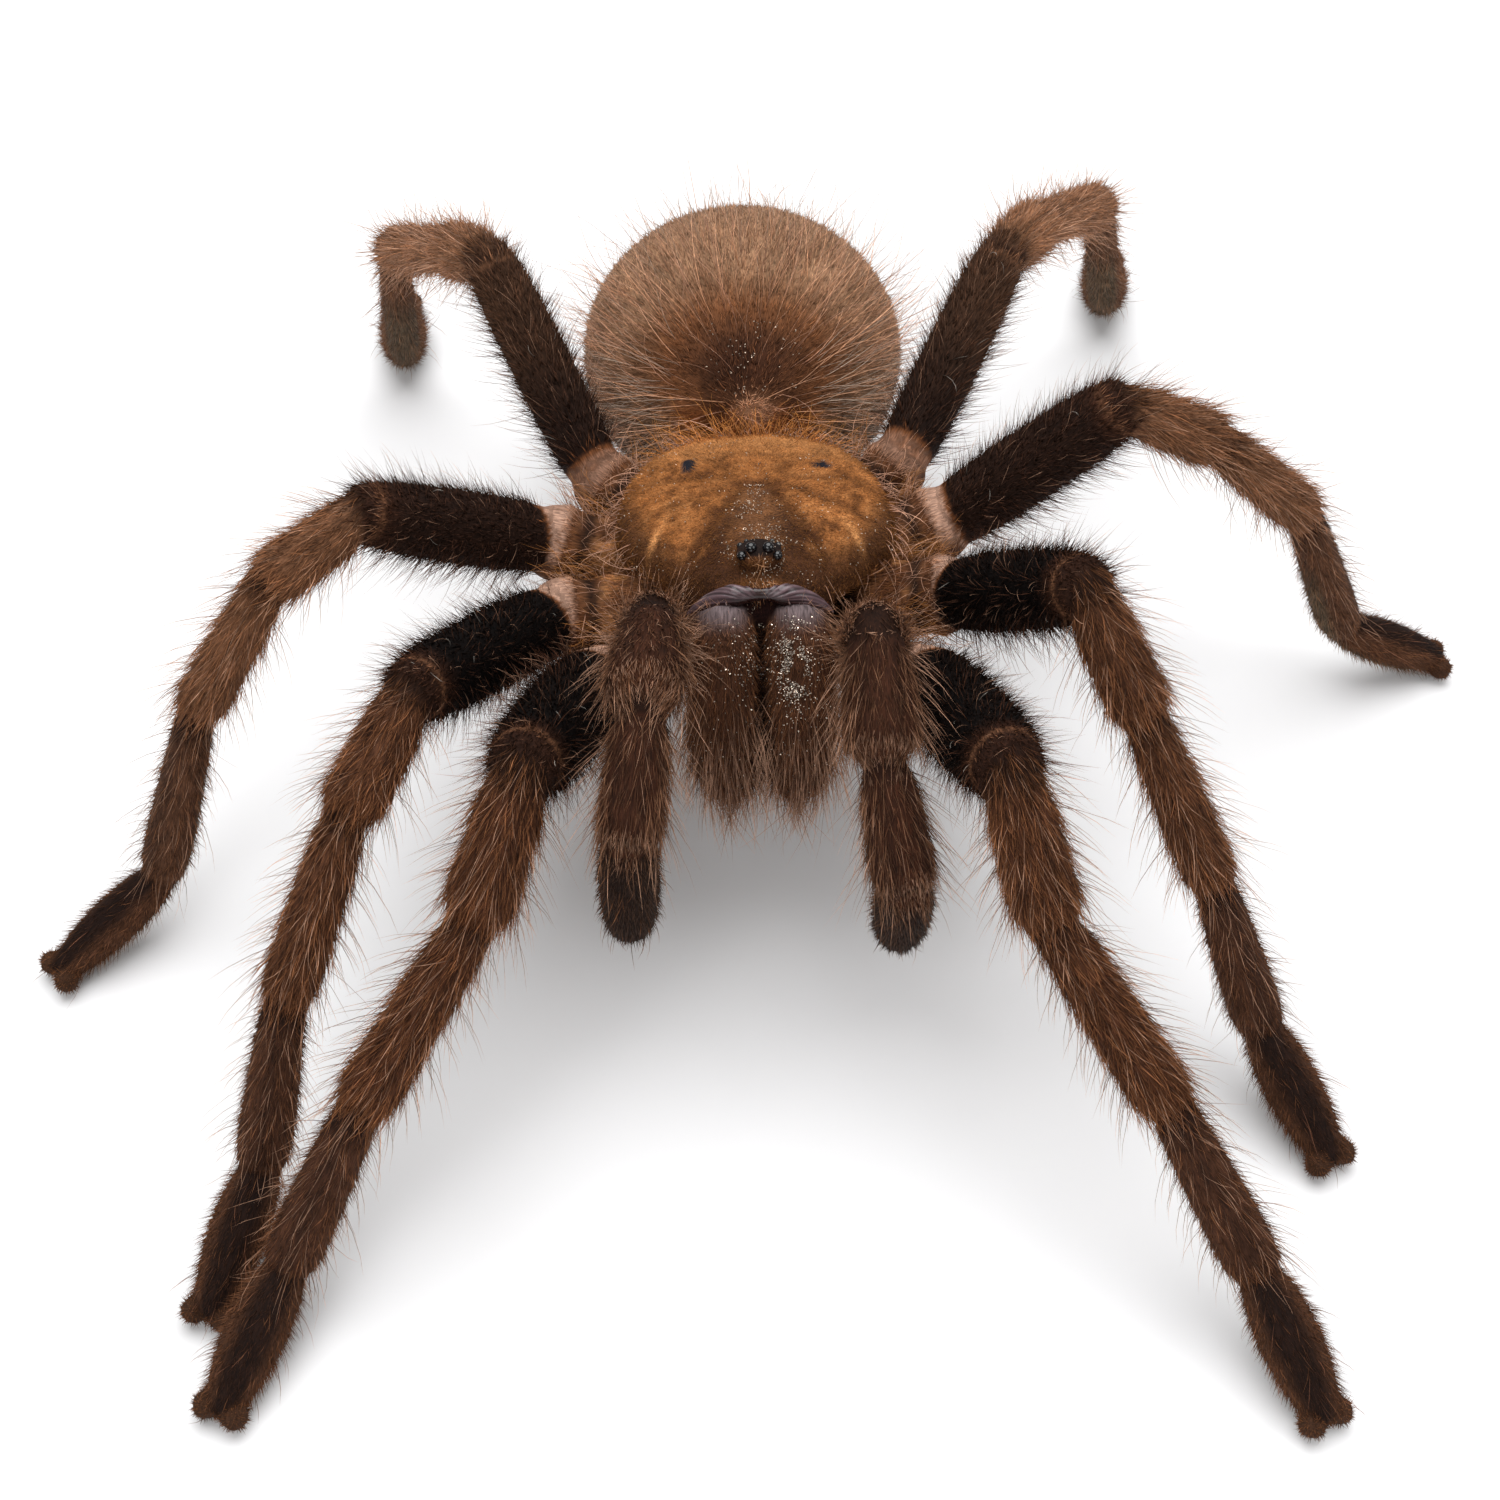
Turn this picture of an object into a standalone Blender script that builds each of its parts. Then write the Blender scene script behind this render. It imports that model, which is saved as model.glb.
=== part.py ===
"""Texas tan tarantula as a still, life-size museum model standing on its eight feet.

The animal faces -Y and stands on the floor at z = 0. Sizes are in millimetres in the stance
frame, whose origin lies on the floor under the middle of the carapace, and become metres when
an object is made.
"""

import itertools
import math
import random

import bmesh
import bpy
import numpy as np
from mathutils import Matrix, Vector

MM = 0.001
GAP = 0.3
SEED = 41

# Body
BODY_HEIGHT = 17.4
BODY_PITCH = -11.0
CARAPACE_LENGTH = 20.6
CARAPACE_WIDTH = 17.4
CARAPACE_HEIGHT = 3.5
CARAPACE_SQUARENESS = 0.62
CARAPACE_FULLNESS = 0.22
CARAPACE_UNDERSIDE = 1.3
CAPUT_RISE = 0.9
CAPUT_SHARE = 0.62
CAPUT_SPREAD = 0.55
CAPUT_START = 0.15
CAPUT_RUN = 0.75
STERNUM_SIZE = (9.5, 15.0, 4.6)
STERNUM_PLACE = (0.0, -0.5, -3.6)
TUBERCLE_SIZE = (2.9, 2.1, 1.9)
TUBERCLE_Y = -7.8
TUBERCLE_EYE_RISE = 0.92
# One eye of each pair, on the tubercle's own plan: across, back and radius
EYE_PAIRS = ((0.42, -0.3, 0.3), (1.02, -0.5, 0.26), (1.1, 0.32, 0.22), (0.68, 0.35, 0.18))
CHELICERA_RADIUS = 2.05
CHELICERA_PATH = (
    (2.3, -9.6, 0.2),
    (2.35, -12.4, -1.0),
    (2.35, -14.0, -3.9),
    (2.2, -14.4, -6.9),
    (2.0, -13.9, -8.8),
)
CHELICERA_TAPER = (1.0, 1.06, 1.1, 1.0, 0.55)
CLYPEUS_Y = -10.5
FANG_RADIUS = 0.75
FANG_LENGTH = 6.0
FANG_PLACE = (2.0, -13.6, -9.4)
FANG_RINGS = 5
FANG_FIRST_TURN = 10
FANG_TURN = 24
FANG_DEPTH = 0.55
PEDICEL_RADIUS = 1.3
ABDOMEN_CENTRE = (-0.3, 23.1, 12.7)
ABDOMEN_SIZE = (22.2, 24.6, 19.4)
ABDOMEN_PITCH = -6.0
# How much wider than an ellipsoid the abdomen is towards its rear, and narrower at both ends
ABDOMEN_REAR = 0.07
ABDOMEN_ENDS = 0.05
SPINNERET_LENGTH = 4.6
SPINNERET_RADIUS = 0.75
SPINNERET_ROOT = (1.5, 0.985, -1.2)
SPINNERET_AIM = (0.25, 1.0, 0.3)
SPINNERET_PROFILE = ((0.0, 1.0), (0.4, 0.9), (0.8, 0.7), (1.0, 0.35))

# Legs: lengths and radii of femur, patella, tibia, metatarsus and tarsus
SEGMENTS = ("femur", "patella", "tibia", "metatarsus", "tarsus")
LENGTHS = {
    1: (15.3, 8.6, 11.8, 10.1, 7.6),
    2: (14.9, 7.7, 10.6, 10.1, 7.9),
    3: (13.4, 6.8, 9.1, 12.0, 8.1),
    4: (15.4, 7.2, 12.3, 14.9, 8.8),
}
RADII = {
    1: (2.5, 2.1, 1.8, 1.55, 1.6),
    2: (2.3, 1.9, 1.7, 1.5, 1.55),
    3: (2.25, 1.85, 1.7, 1.45, 1.45),
    4: (2.1, 1.95, 1.75, 1.3, 1.6),
}
TIP_HEIGHT = 1.15
FLOOR = (Vector((0, 0, 0)), Vector((0, 0, -1)))
TUFT_SIZE = 1.9
TUFT_SPREAD = 0.72
TUFT_INSET = 0.35

# Posture of each leg: where its femur starts, then the yaw of each segment, measured from
# straight out of the body towards the rear, and the pitch above the horizontal of all but the
# tarsus, which comes down to the floor
POSTURE = {
    (1, "left"): ((9.7, -10.3, 15.3), (-77, -67, -55, -56, -66), (27, -49, -27, -36)),
    (1, "right"): ((9.7, -10.0, 15.3), (-76, -61, -55, -49, -66), (28, -48, -25, -48)),
    (2, "left"): ((11.9, -4.0, 16.0), (-59, -58, -53, -50, -64), (41, -40, -49, -58)),
    (2, "right"): ((12.4, -5.0, 15.6), (-59, -64, -65, -70, -70), (24, -18, -38, -55)),
    (3, "left"): ((11.9, 2.5, 16.0), (1, -2, 3, 8, 5), (42, -24, -44, -67)),
    (3, "right"): ((12.9, 1.5, 15.9), (-26, -40, -39, -45, -38), (32, -11, -47, -65)),
    (4, "left"): ((9.5, 8.5, 15.5), (57, 62, 58, 67, 81), (33, -16, -25, -63)),
    (4, "right"): ((9.9, 7.6, 15.5), (53, 61, 60, 79, 83), (45, -27, -32, -67)),
}

# Palps: lengths and radii of femur, patella, tibia and tarsus
PALP_SEGMENTS = ("femur", "patella", "tibia", "tarsus")
PALP_LENGTHS = (10.2, 6.7, 7.9, 6.0)
PALP_RADII = (1.95, 2.0, 1.85, 1.8)
PALP_POSTURE = {
    "left": ((6.6, -10.4, 16.9), (-96, -88, -73, -88), (56, -35, -55, -103)),
    "right": ((6.6, -10.4, 16.9), (-96, -87, -79, -80), (60, 9, -48, -83)),
}

# Coxae: each runs from an inner point, across and as a share of its root's way along the body,
# to the root of its limb
COXA_RADII = {"leg1": 2.2, "leg2": 2.75, "leg3": 2.75, "leg4": 2.5, "palp": 1.6}
COXA_INNER = (3.6, 0.55)
COXA_DROP = 4.0
COXA_PROFILE = ((0.0, 0.75), (0.3, 1.0), (0.75, 0.92), (1.3, 0.75))
TUBE_SIDES = 8
END_SPARE = 0.9

# Hair: flat tapered locks, each a few real bristles wide. A lock leaves its surface at the
# first angle and bends towards the lie of the coat until it reaches the second
LIMB_LOCK_WIDTH = 2.0
BODY_LOCK_WIDTH = 2.7
LOCK_THICKNESS = 0.6
LOCK_TAPER = ((0.0, 0.75), (0.35, 1.0), (0.72, 0.62), (1.0, 0.0))
LOCK_SUNK = 0.9
LOCK_CLEARANCE = 0.35
LOCK_SPACING = 0.65
LOCK_TRIES = 12
LOCK_STEP_BACK = 0.88
LOCK_SHORTER = 0.94
LOCK_SWING = 16
LIMB_LOCK_ANGLES = (56, 8)
BODY_LOCK_ANGLES = (46, 2)
CARAPACE_LOCK_ANGLES = (48, 12)
CHELICERA_LOCK_ANGLES = (38, 5)
SPIRAL_STEP = 137.5
SEGMENT_LOCKS = {"femur": 8, "patella": 5, "tibia": 7, "metatarsus": 6, "tarsus": 3}
SEGMENT_LOCK_LENGTHS = {
    "femur": 5.2,
    "patella": 4.6,
    "tibia": 5.0,
    "metatarsus": 4.2,
    "tarsus": 3.0,
}
PALP_LOCKS = {"femur": 3, "patella": 4, "tibia": 6, "tarsus": 3}
ABDOMEN_LOCKS = 72
ABDOMEN_LOCK_LENGTH = 6.2
ABDOMEN_LOCK_RANGE = (-0.62, 0.88)
CHELICERA_LOCK_ROWS = (0.35, 0.65, 0.95)
CHELICERA_LOCK_SIDES = (-0.75, 0.75)
CHELICERA_LOCK_WIDTH = 1.5
CHELICERA_LOCK_LENGTH = 4.6
CARAPACE_LOCKS = 19
CARAPACE_LOCK_ARC = (-20, 200)
CARAPACE_LOCK_EDGE = 0.97
CARAPACE_LOCK_HEIGHT = 0.5
CARAPACE_LOCK_WIDTH = 1.8
CARAPACE_LOCK_LENGTH = 3.4

# How the radius of a segment changes from its start to its end
PROFILES = {
    "femur": ((0.0, 0.68), (0.1, 0.96), (0.4, 1.06), (0.8, 1.0), (1.0, 0.86)),
    "patella": ((0.0, 0.86), (0.3, 1.0), (0.7, 1.0), (1.0, 0.86)),
    "tibia": ((0.0, 0.86), (0.25, 1.0), (0.7, 0.98), (1.0, 0.84)),
    "metatarsus": ((0.0, 0.92), (0.3, 0.97), (0.7, 1.0), (1.0, 0.92)),
    "tarsus": ((0.0, 0.86), (0.25, 1.0), (0.65, 1.06), (0.9, 0.9), (1.0, 0.5)),
    "palp_tarsus": ((0.0, 0.86), (0.2, 1.0), (0.55, 0.95), (0.85, 0.8), (1.0, 0.5)),
}

# Colours
BLACK_BROWN = (0.022, 0.013, 0.009, 1)
LEG_BROWN = (0.075, 0.042, 0.026, 1)
FOOT_BROWN = (0.055, 0.034, 0.022, 1)
CARAPACE_TAN = (0.28, 0.11, 0.028, 1)
ABDOMEN_TAN = (0.16, 0.10, 0.065, 1)
EYE_BLACK = (0.01, 0.008, 0.008, 1)


def clear_scene():
    for obj in list(bpy.data.objects):
        bpy.data.objects.remove(obj)


def make_collection():
    found = bpy.data.collections.new("texas_tan_tarantula")
    bpy.context.scene.collection.children.link(found)
    return found


def body_point(place):
    """A point of the carapace's own frame, in the stance frame."""
    turn = Matrix.Rotation(math.radians(BODY_PITCH), 3, "X")
    return turn @ Vector(place) + Vector((0, 0, BODY_HEIGHT))


def direction(yaw, pitch, sign):
    """The unit vector of a yaw from straight out towards the rear, and a pitch upwards."""
    flat = math.cos(math.radians(pitch))
    return Vector(
        (
            sign * flat * math.cos(math.radians(yaw)),
            flat * math.sin(math.radians(yaw)),
            math.sin(math.radians(pitch)),
        )
    )


def leg_joints(number, side):
    """The femur's start, then each joint out to the tip of the tarsus, which is near the floor."""
    sign = 1 if side == "left" else -1
    root, yaws, pitches = POSTURE[number, side]
    points = [Vector((sign * root[0], root[1], root[2]))]
    for length, yaw, pitch in zip(LENGTHS[number], yaws, pitches):
        points.append(points[-1] + direction(yaw, pitch, sign) * length)
    length = LENGTHS[number][-1]
    drop = math.degrees(math.asin((TIP_HEIGHT - points[-1].z) / length))
    points.append(points[-1] + direction(yaws[-1], drop, sign) * length)
    return points


def palp_joints(side):
    sign = 1 if side == "left" else -1
    root, yaws, pitches = PALP_POSTURE[side]
    points = [Vector((sign * root[0], root[1], root[2]))]
    for length, yaw, pitch in zip(PALP_LENGTHS, yaws, pitches):
        points.append(points[-1] + direction(yaw, pitch, sign) * length)
    return points


def tube(points, radii, sides=TUBE_SIDES):
    """A closed tube mesh through points, from a curve with a bevel and filled caps."""
    data = bpy.data.curves.new("tube", "CURVE")
    data.dimensions = "3D"
    data.bevel_depth = 1.0
    data.bevel_resolution = max(0, (sides - 4) // 2)
    data.use_fill_caps = True
    spline = data.splines.new("POLY")
    spline.points.add(len(points) - 1)
    for slot, place, radius in zip(spline.points, points, radii):
        slot.co = (*place, 1)
        slot.radius = radius
    obj = bpy.data.objects.new("tube", data)
    bpy.context.scene.collection.objects.link(obj)
    graph = bpy.context.evaluated_depsgraph_get()
    mesh = bpy.data.meshes.new_from_object(obj.evaluated_get(graph))
    bpy.data.objects.remove(obj)
    bpy.data.curves.remove(data)
    shape = bmesh.new()
    shape.from_mesh(mesh)
    bpy.data.meshes.remove(mesh)
    bmesh.ops.remove_doubles(shape, verts=shape.verts, dist=0.0001)
    bmesh.ops.recalc_face_normals(shape, faces=shape.faces)
    return shape


def ball(size, place, turn=None, across=16, along=10):
    """An ellipsoid of the given full sizes."""
    shape = bmesh.new()
    bmesh.ops.create_uvsphere(shape, u_segments=across, v_segments=along, radius=0.5)
    move = Matrix.Translation(place) @ (turn or Matrix()) @ Matrix.Diagonal((*size, 1))
    bmesh.ops.transform(shape, matrix=move, verts=shape.verts)
    return shape


def cut(shape, place, normal):
    """Removes what lies beyond a plane, and closes the shape there."""
    geometry = shape.verts[:] + shape.edges[:] + shape.faces[:]
    bmesh.ops.bisect_plane(
        shape, geom=geometry, dist=1e-6, plane_co=place, plane_no=normal, clear_outer=True
    )
    rim = [edge for edge in shape.edges if edge.is_boundary]
    if rim:
        bmesh.ops.holes_fill(shape, edges=rim)
    return shape


def largest_part(shape):
    """Keeps the closed surface of the largest volume."""
    left = set(shape.faces)
    groups = []
    while left:
        front = [left.pop()]
        group = list(front)
        while front:
            near = {f for edge in front.pop().edges for f in edge.link_faces} & left
            left -= near
            front += near
            group += near
        groups.append(group)
    if len(groups) > 1:
        def volume(group):
            total = 0.0
            for face in group:
                first = face.verts[0].co
                for a, b in zip(face.verts[1:-1], face.verts[2:]):
                    total += first.dot(a.co.cross(b.co))
            return total

        groups.sort(key=volume)
        doomed = [face for group in groups[:-1] for face in group]
        bmesh.ops.delete(shape, geom=doomed, context="FACES")
    return shape


def lock(draw, root, out, lie, length, angles, width):
    """A flat tapered lock with its root sunk under the surface, bent over towards the lie.

    out is the surface's outward normal and lie the way the coat lies there.
    """
    lie = (lie - out * lie.dot(out)).normalized()
    swing = math.radians(draw.uniform(-LOCK_SWING, LOCK_SWING))
    lie = (lie * math.cos(swing) + out.cross(lie) * math.sin(swing)).normalized()
    across = out.cross(lie)
    full = length + LOCK_SUNK
    spine = [Vector((share * full, 0, 0)) for share, _ in LOCK_TAPER]
    shape = tube(spine, [width / 2 * factor for _, factor in LOCK_TAPER], 4)
    for vert in shape.verts:
        along, side, up = vert.co
        share = along / full
        first, last = (math.radians(angle) for angle in angles)
        turn = first + (last - first) * share
        middle = first + (last - first) * share / 2
        path = (lie * math.cos(middle) + out * math.sin(middle)) * along
        top = out * math.cos(turn) - lie * math.sin(turn)
        flat = up * LOCK_THICKNESS / width
        start = root - out * LOCK_SUNK * math.sin(first) - lie * LOCK_SUNK * math.cos(first)
        vert.co = start + path + across * side + top * flat
    return shape


class Neighbours:
    """The bodies and locks of every node, which a lock of another node keeps clear of."""

    def __init__(self):
        self.rods = []
        self.eggs = []
        self.hairs = []

    def add_rod(self, node, start, end, radius, cuts=()):
        """A round bar, which ends at the planes in cuts, each a place and a way out."""
        self.rods.append((node, np.array(start), np.array(end), radius, cuts))

    def add_egg(self, node, centre, size, turn):
        self.eggs.append((node, np.array(centre), np.array(size) / 2, np.array(turn)))

    def fits(self, node, shape, planes):
        """Whether a lock lies inside its planes and clear of every other node."""
        ends = np.array([vert.co for vert in shape.verts])
        middles = np.array([(e.verts[0].co + e.verts[1].co) / 2 for e in shape.edges])
        points = np.vstack([ends, middles])
        for place, normal in planes:
            if ((points - np.array(place)) @ np.array(normal)).max() > -LOCK_CLEARANCE:
                return False
        for other, start, end, radius, cuts in self.rods:
            if other == node:
                continue
            along = end - start
            share = np.clip((points - start) @ along / (along @ along), 0, 1)
            gap = np.linalg.norm(points - start - share[:, None] * along, axis=1) - radius
            for place, normal in cuts:
                gap = np.maximum(gap, (points - np.array(place)) @ np.array(normal))
            if gap.min() < LOCK_CLEARANCE:
                return False
        for other, centre, half, turn in self.eggs:
            if other == node:
                continue
            local = (points - centre) @ turn
            if (((local / (half + LOCK_CLEARANCE)) ** 2).sum(axis=1)).min() < 1:
                return False
        for other, hair in self.hairs:
            if other == node:
                continue
            apart = np.linalg.norm(points[:, None] - hair[None], axis=2)
            if apart.min() < LOCK_SPACING:
                return False
        self.hairs.append((node, points))
        return True


def make_mesh(shape, name):
    mesh = bpy.data.meshes.new(name)
    shape.to_mesh(mesh)
    shape.free()
    return mesh


def make_material(name, colour, roughness):
    material = bpy.data.materials.new(name)
    material.use_nodes = True
    shader = material.node_tree.nodes["Principled BSDF"]
    shader.inputs["Base Color"].default_value = colour
    shader.inputs["Roughness"].default_value = roughness
    shader.inputs["Metallic"].default_value = 0.0
    return material


def fused(shapes):
    """One closed body from closed shapes that overlap."""
    if len(shapes) == 1:
        return shapes[0]
    pieces = bpy.data.collections.new("pieces")
    core = bpy.data.objects.new("core", make_mesh(shapes[0], "core"))
    bpy.context.scene.collection.objects.link(core)
    for shape in shapes[1:]:
        pieces.objects.link(bpy.data.objects.new("piece", make_mesh(shape, "piece")))
    union = core.modifiers.new("union", "BOOLEAN")
    union.operation = "UNION"
    union.operand_type = "COLLECTION"
    union.collection = pieces
    union.solver = "EXACT"
    graph = bpy.context.evaluated_depsgraph_get()
    mesh = bpy.data.meshes.new_from_object(core.evaluated_get(graph))
    for obj in list(pieces.objects) + [core]:
        bpy.data.objects.remove(obj)
    bpy.data.collections.remove(pieces)
    shape = bmesh.new()
    shape.from_mesh(mesh)
    bpy.data.meshes.remove(mesh)
    return largest_part(shape)


def add_node(parts, name, shapes, colour, roughness, cuts=()):
    """Fuses the shapes, cuts them where the node meets its neighbours and makes the object."""
    shape = fused(shapes)
    for place, normal in cuts:
        cut(shape, place, normal)
    if cuts:
        largest_part(shape)
    bmesh.ops.triangulate(shape, faces=shape.faces)
    bmesh.ops.scale(shape, vec=(MM, MM, MM), verts=shape.verts)
    mesh = make_mesh(shape, name)
    mesh.shade_smooth()
    mesh.set_sharp_from_angle(angle=math.radians(40))
    obj = bpy.data.objects.new(name, mesh)
    obj.data.materials.append(make_material(name, colour, roughness))
    parts.objects.link(obj)
    return obj


def bisector(before, joint, after):
    """The direction that the face between two segments looks in, away from the body."""
    return ((joint - before).normalized() + (after - joint).normalized()).normalized()


def coxa_inner(root):
    sign = 1 if root.x > 0 else -1
    return body_point((sign * COXA_INNER[0], root.y * COXA_INNER[1], -COXA_DROP))


def claw_tufts(aim, tip):
    """The two round pads of short hair that hide the claws of a foot."""
    across = aim.cross(Vector((0, 0, 1))).normalized()
    return [
        ball((TUFT_SIZE,) * 3, tip + across * TUFT_SPREAD * sign - aim * TUFT_INSET, None, 8, 5)
        for sign in (-1, 1)
    ]


def profile_at(profile, share):
    for (a, low), (b, high) in zip(profile, profile[1:]):
        if a <= share <= b:
            return low + (high - low) * (share - a) / (b - a)
    return profile[-1][1]


def limb_locks(near, node, draw, start, step, radius, profile, count, length):
    """Locks in a spiral round a segment, leaning towards its far end and over the joint there."""
    aim = step.normalized()
    side = aim.cross(Vector((0, 0, 1))).normalized()
    upper = side.cross(aim)
    phase = draw.uniform(0, 360)
    locks = []
    for index in range(count):
        turn = math.radians(phase + SPIRAL_STEP * index)
        out = upper * math.cos(turn) + side * math.sin(turn)
        longer = length * draw.uniform(0.85, 1.15)
        share = (index + 0.5) / count
        for _ in range(LOCK_TRIES):
            there = radius * profile_at(profile, share)
            root = start + step * share + out * there
            made = lock(draw, root, out, aim, longer, LIMB_LOCK_ANGLES, LIMB_LOCK_WIDTH)
            if near.fits(node, made, [FLOOR]):
                locks.append(made)
                break
            made.free()
            share *= LOCK_STEP_BACK
            longer *= LOCK_SHORTER
    return locks


def limb_planes(joints, inner):
    """The plane at the start of each segment, as its normal: halfway between two directions."""
    planes = [bisector(inner, joints[0], joints[1])]
    for before, joint, after in zip(joints, joints[1:], joints[2:]):
        planes.append(bisector(before, joint, after))
    return planes


def limb_nodes(parts, near, prefix, names, joints, radii, colours, floor, counts):
    """The segments of one leg or palp, each cut to meet the next one face to face."""
    draw = random.Random(f"{SEED} {prefix}")
    planes = limb_planes(joints, coxa_inner(joints[0]))
    for index, name in enumerate(names):
        start, end = joints[index], joints[index + 1]
        step = end - start
        length = step.length
        spare = radii[index] * END_SPARE / length
        last = index == len(names) - 1
        profile = PROFILES["palp_tarsus" if last and not floor else name]
        rings = list(profile)
        rings.insert(0, (-spare, rings[0][1]))
        if not last:
            rings.append((1 + spare, rings[-1][1]))
        points = [start + step * share for share, _ in rings]
        widths = [radii[index] * factor for _, factor in rings]
        cuts = [(start + planes[index] * GAP / 2, -planes[index])]
        if not last:
            cuts.append((end - planes[index + 1] * GAP / 2, planes[index + 1]))
        elif floor:
            cuts.append(FLOOR)
        core = tube(points, widths)
        for place, normal in cuts:
            cut(core, place, normal)
        shapes = [core]
        if last and floor:
            shapes += [cut(tuft, *FLOOR) for tuft in claw_tufts(step.normalized(), end)]
        shapes += limb_locks(
            near,
            f"{prefix}_{name}",
            draw,
            start,
            step,
            radii[index],
            profile,
            counts[name],
            SEGMENT_LOCK_LENGTHS[name],
        )
        add_node(parts, f"{prefix}_{name}", shapes, colours[name], 0.8)


def caput_share(along):
    """0 on the thorax to 1 at the front of the head, at a share of the shield's length."""
    return max(0.0, min(1.0, (-along - CAPUT_START) / CAPUT_RUN))


def shield_height(across, along, up):
    rise = CAPUT_RISE * math.exp(-((across / CAPUT_SPREAD) ** 2)) * caput_share(along)
    return up**CARAPACE_SQUARENESS * (CARAPACE_HEIGHT + rise)


def carapace():
    """The shield over the front body: broad behind, narrower and higher at the head."""
    shape = ball((1, 1, 1), (0, 0, 0), across=20, along=12)
    for vert in shape.verts:
        across, along, up = vert.co * 2
        y = along * CARAPACE_LENGTH / 2
        front = caput_share(along)
        narrow = 1 - (1 - CAPUT_SHARE) * front * front * (3 - 2 * front)
        fuller = 1 + CARAPACE_FULLNESS * along * along
        x = across * CARAPACE_WIDTH / 2 * narrow * fuller
        z = shield_height(across, along, up) if up > 0 else up * CARAPACE_UNDERSIDE
        vert.co = body_point((x, y, z))
    return shape


def tubercle_base():
    """The middle of the eye knob's base, just over the top of the shield."""
    along = TUBERCLE_Y / CARAPACE_LENGTH * 2
    top = shield_height(0, along, math.sqrt(1 - along * along))
    return Vector((0, TUBERCLE_Y, top + GAP))


def carapace_locks(near):
    """The curly fringe round the rear and sides of the shield."""
    draw = random.Random(f"{SEED} carapace")
    turn = Matrix.Rotation(math.radians(BODY_PITCH), 3, "X")
    locks = []
    first, last = CARAPACE_LOCK_ARC
    for index in range(CARAPACE_LOCKS):
        bearing = math.radians(first + (last - first) * index / (CARAPACE_LOCKS - 1))
        place = (
            math.cos(bearing) * CARAPACE_WIDTH / 2 * CARAPACE_LOCK_EDGE,
            math.sin(bearing) * CARAPACE_LENGTH / 2 * CARAPACE_LOCK_EDGE,
            CARAPACE_LOCK_HEIGHT,
        )
        lie = turn @ Vector((math.cos(bearing), math.sin(bearing), 0))
        out = turn @ Vector((0, 0, 1))
        length = CARAPACE_LOCK_LENGTH * draw.uniform(0.8, 1.1)
        root = body_point(place)
        made = lock(draw, root, out, lie, length, CARAPACE_LOCK_ANGLES, CARAPACE_LOCK_WIDTH)
        if near.fits("cephalothorax", made, ()):
            locks.append(made)
    return locks


def front_body(parts, near, limbs):
    pitch = Matrix.Rotation(math.radians(BODY_PITCH), 4, "X")
    shapes = [carapace(), ball(STERNUM_SIZE, body_point(STERNUM_PLACE), pitch, 16, 8)]
    for prefix, _, joints, _ in limbs:
        root = joints[0]
        inner = coxa_inner(root)
        face = limb_planes(joints, inner)[0]
        radius = COXA_RADII[prefix.split("_")[0]]
        points = [inner + (root - inner) * share for share, _ in COXA_PROFILE]
        shape = tube(points, [radius * factor for _, factor in COXA_PROFILE])
        shapes.append(cut(shape, root - face * GAP / 2, face))
    shapes += carapace_locks(near)
    forward = pitch.to_3x3() @ Vector((0, -1, 0))
    cuts = [(body_point((0, CLYPEUS_Y, 0)), forward)]
    add_node(parts, "cephalothorax", shapes, CARAPACE_TAN, 0.7, cuts)


def eye_tubercle(parts):
    """The knob on the head with the eight eyes as beads on it."""
    pitch = Matrix.Rotation(math.radians(BODY_PITCH), 4, "X")
    wide, deep, high = (full / 2 for full in TUBERCLE_SIZE)
    base = tubercle_base()
    up = pitch.to_3x3() @ Vector((0, 0, 1))
    shapes = [ball(TUBERCLE_SIZE, body_point(base), pitch, 12, 8)]
    for sign in (-1, 1):
        for x, y, radius in EYE_PAIRS:
            z = high * math.sqrt(max(0.05, 1 - (x / wide) ** 2 - (y / deep) ** 2))
            place = base + Vector((sign * x, y, z * TUBERCLE_EYE_RISE))
            shapes.append(ball((2 * radius,) * 3, body_point(place), pitch, 6, 4))
    add_node(parts, "eye_tubercle", shapes, EYE_BLACK, 0.25, [(body_point(base), -up)])


def chelicera_locks(near, node, draw, path, forward, cuts):
    """The fringe that hangs over the front of a chelicera."""
    locks = []
    for across, share in itertools.product(CHELICERA_LOCK_SIDES, CHELICERA_LOCK_ROWS):
        step = share * (len(path) - 1)
        start = path[int(step)]
        place = start.lerp(path[min(int(step) + 1, len(path) - 1)], step % 1)
        out = (forward + Vector((across * 0.35, 0, 0.15))).normalized()
        root = place + out * CHELICERA_RADIUS * 0.95 + Vector((across * 0.5, 0, 0))
        length = CHELICERA_LOCK_LENGTH * draw.uniform(0.85, 1.1)
        down = Vector((0, 0, -1))
        made = lock(draw, root, out, down, length, CHELICERA_LOCK_ANGLES, CHELICERA_LOCK_WIDTH)
        if near.fits(node, made, cuts):
            locks.append(made)
    return locks


def fang(sign):
    """A claw that curves down and back under the mouth."""
    points = [body_point((sign * FANG_PLACE[0], *FANG_PLACE[1:]))]
    for index in range(1, FANG_RINGS):
        turn = math.radians(FANG_FIRST_TURN + FANG_TURN * index)
        bend = Vector((0, math.sin(turn), -math.cos(turn) * FANG_DEPTH))
        points.append(points[-1] + bend * FANG_LENGTH / FANG_RINGS)
    widths = [FANG_RADIUS * (1 - index / FANG_RINGS) for index in range(FANG_RINGS)]
    return tube(points, widths, 6)


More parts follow.
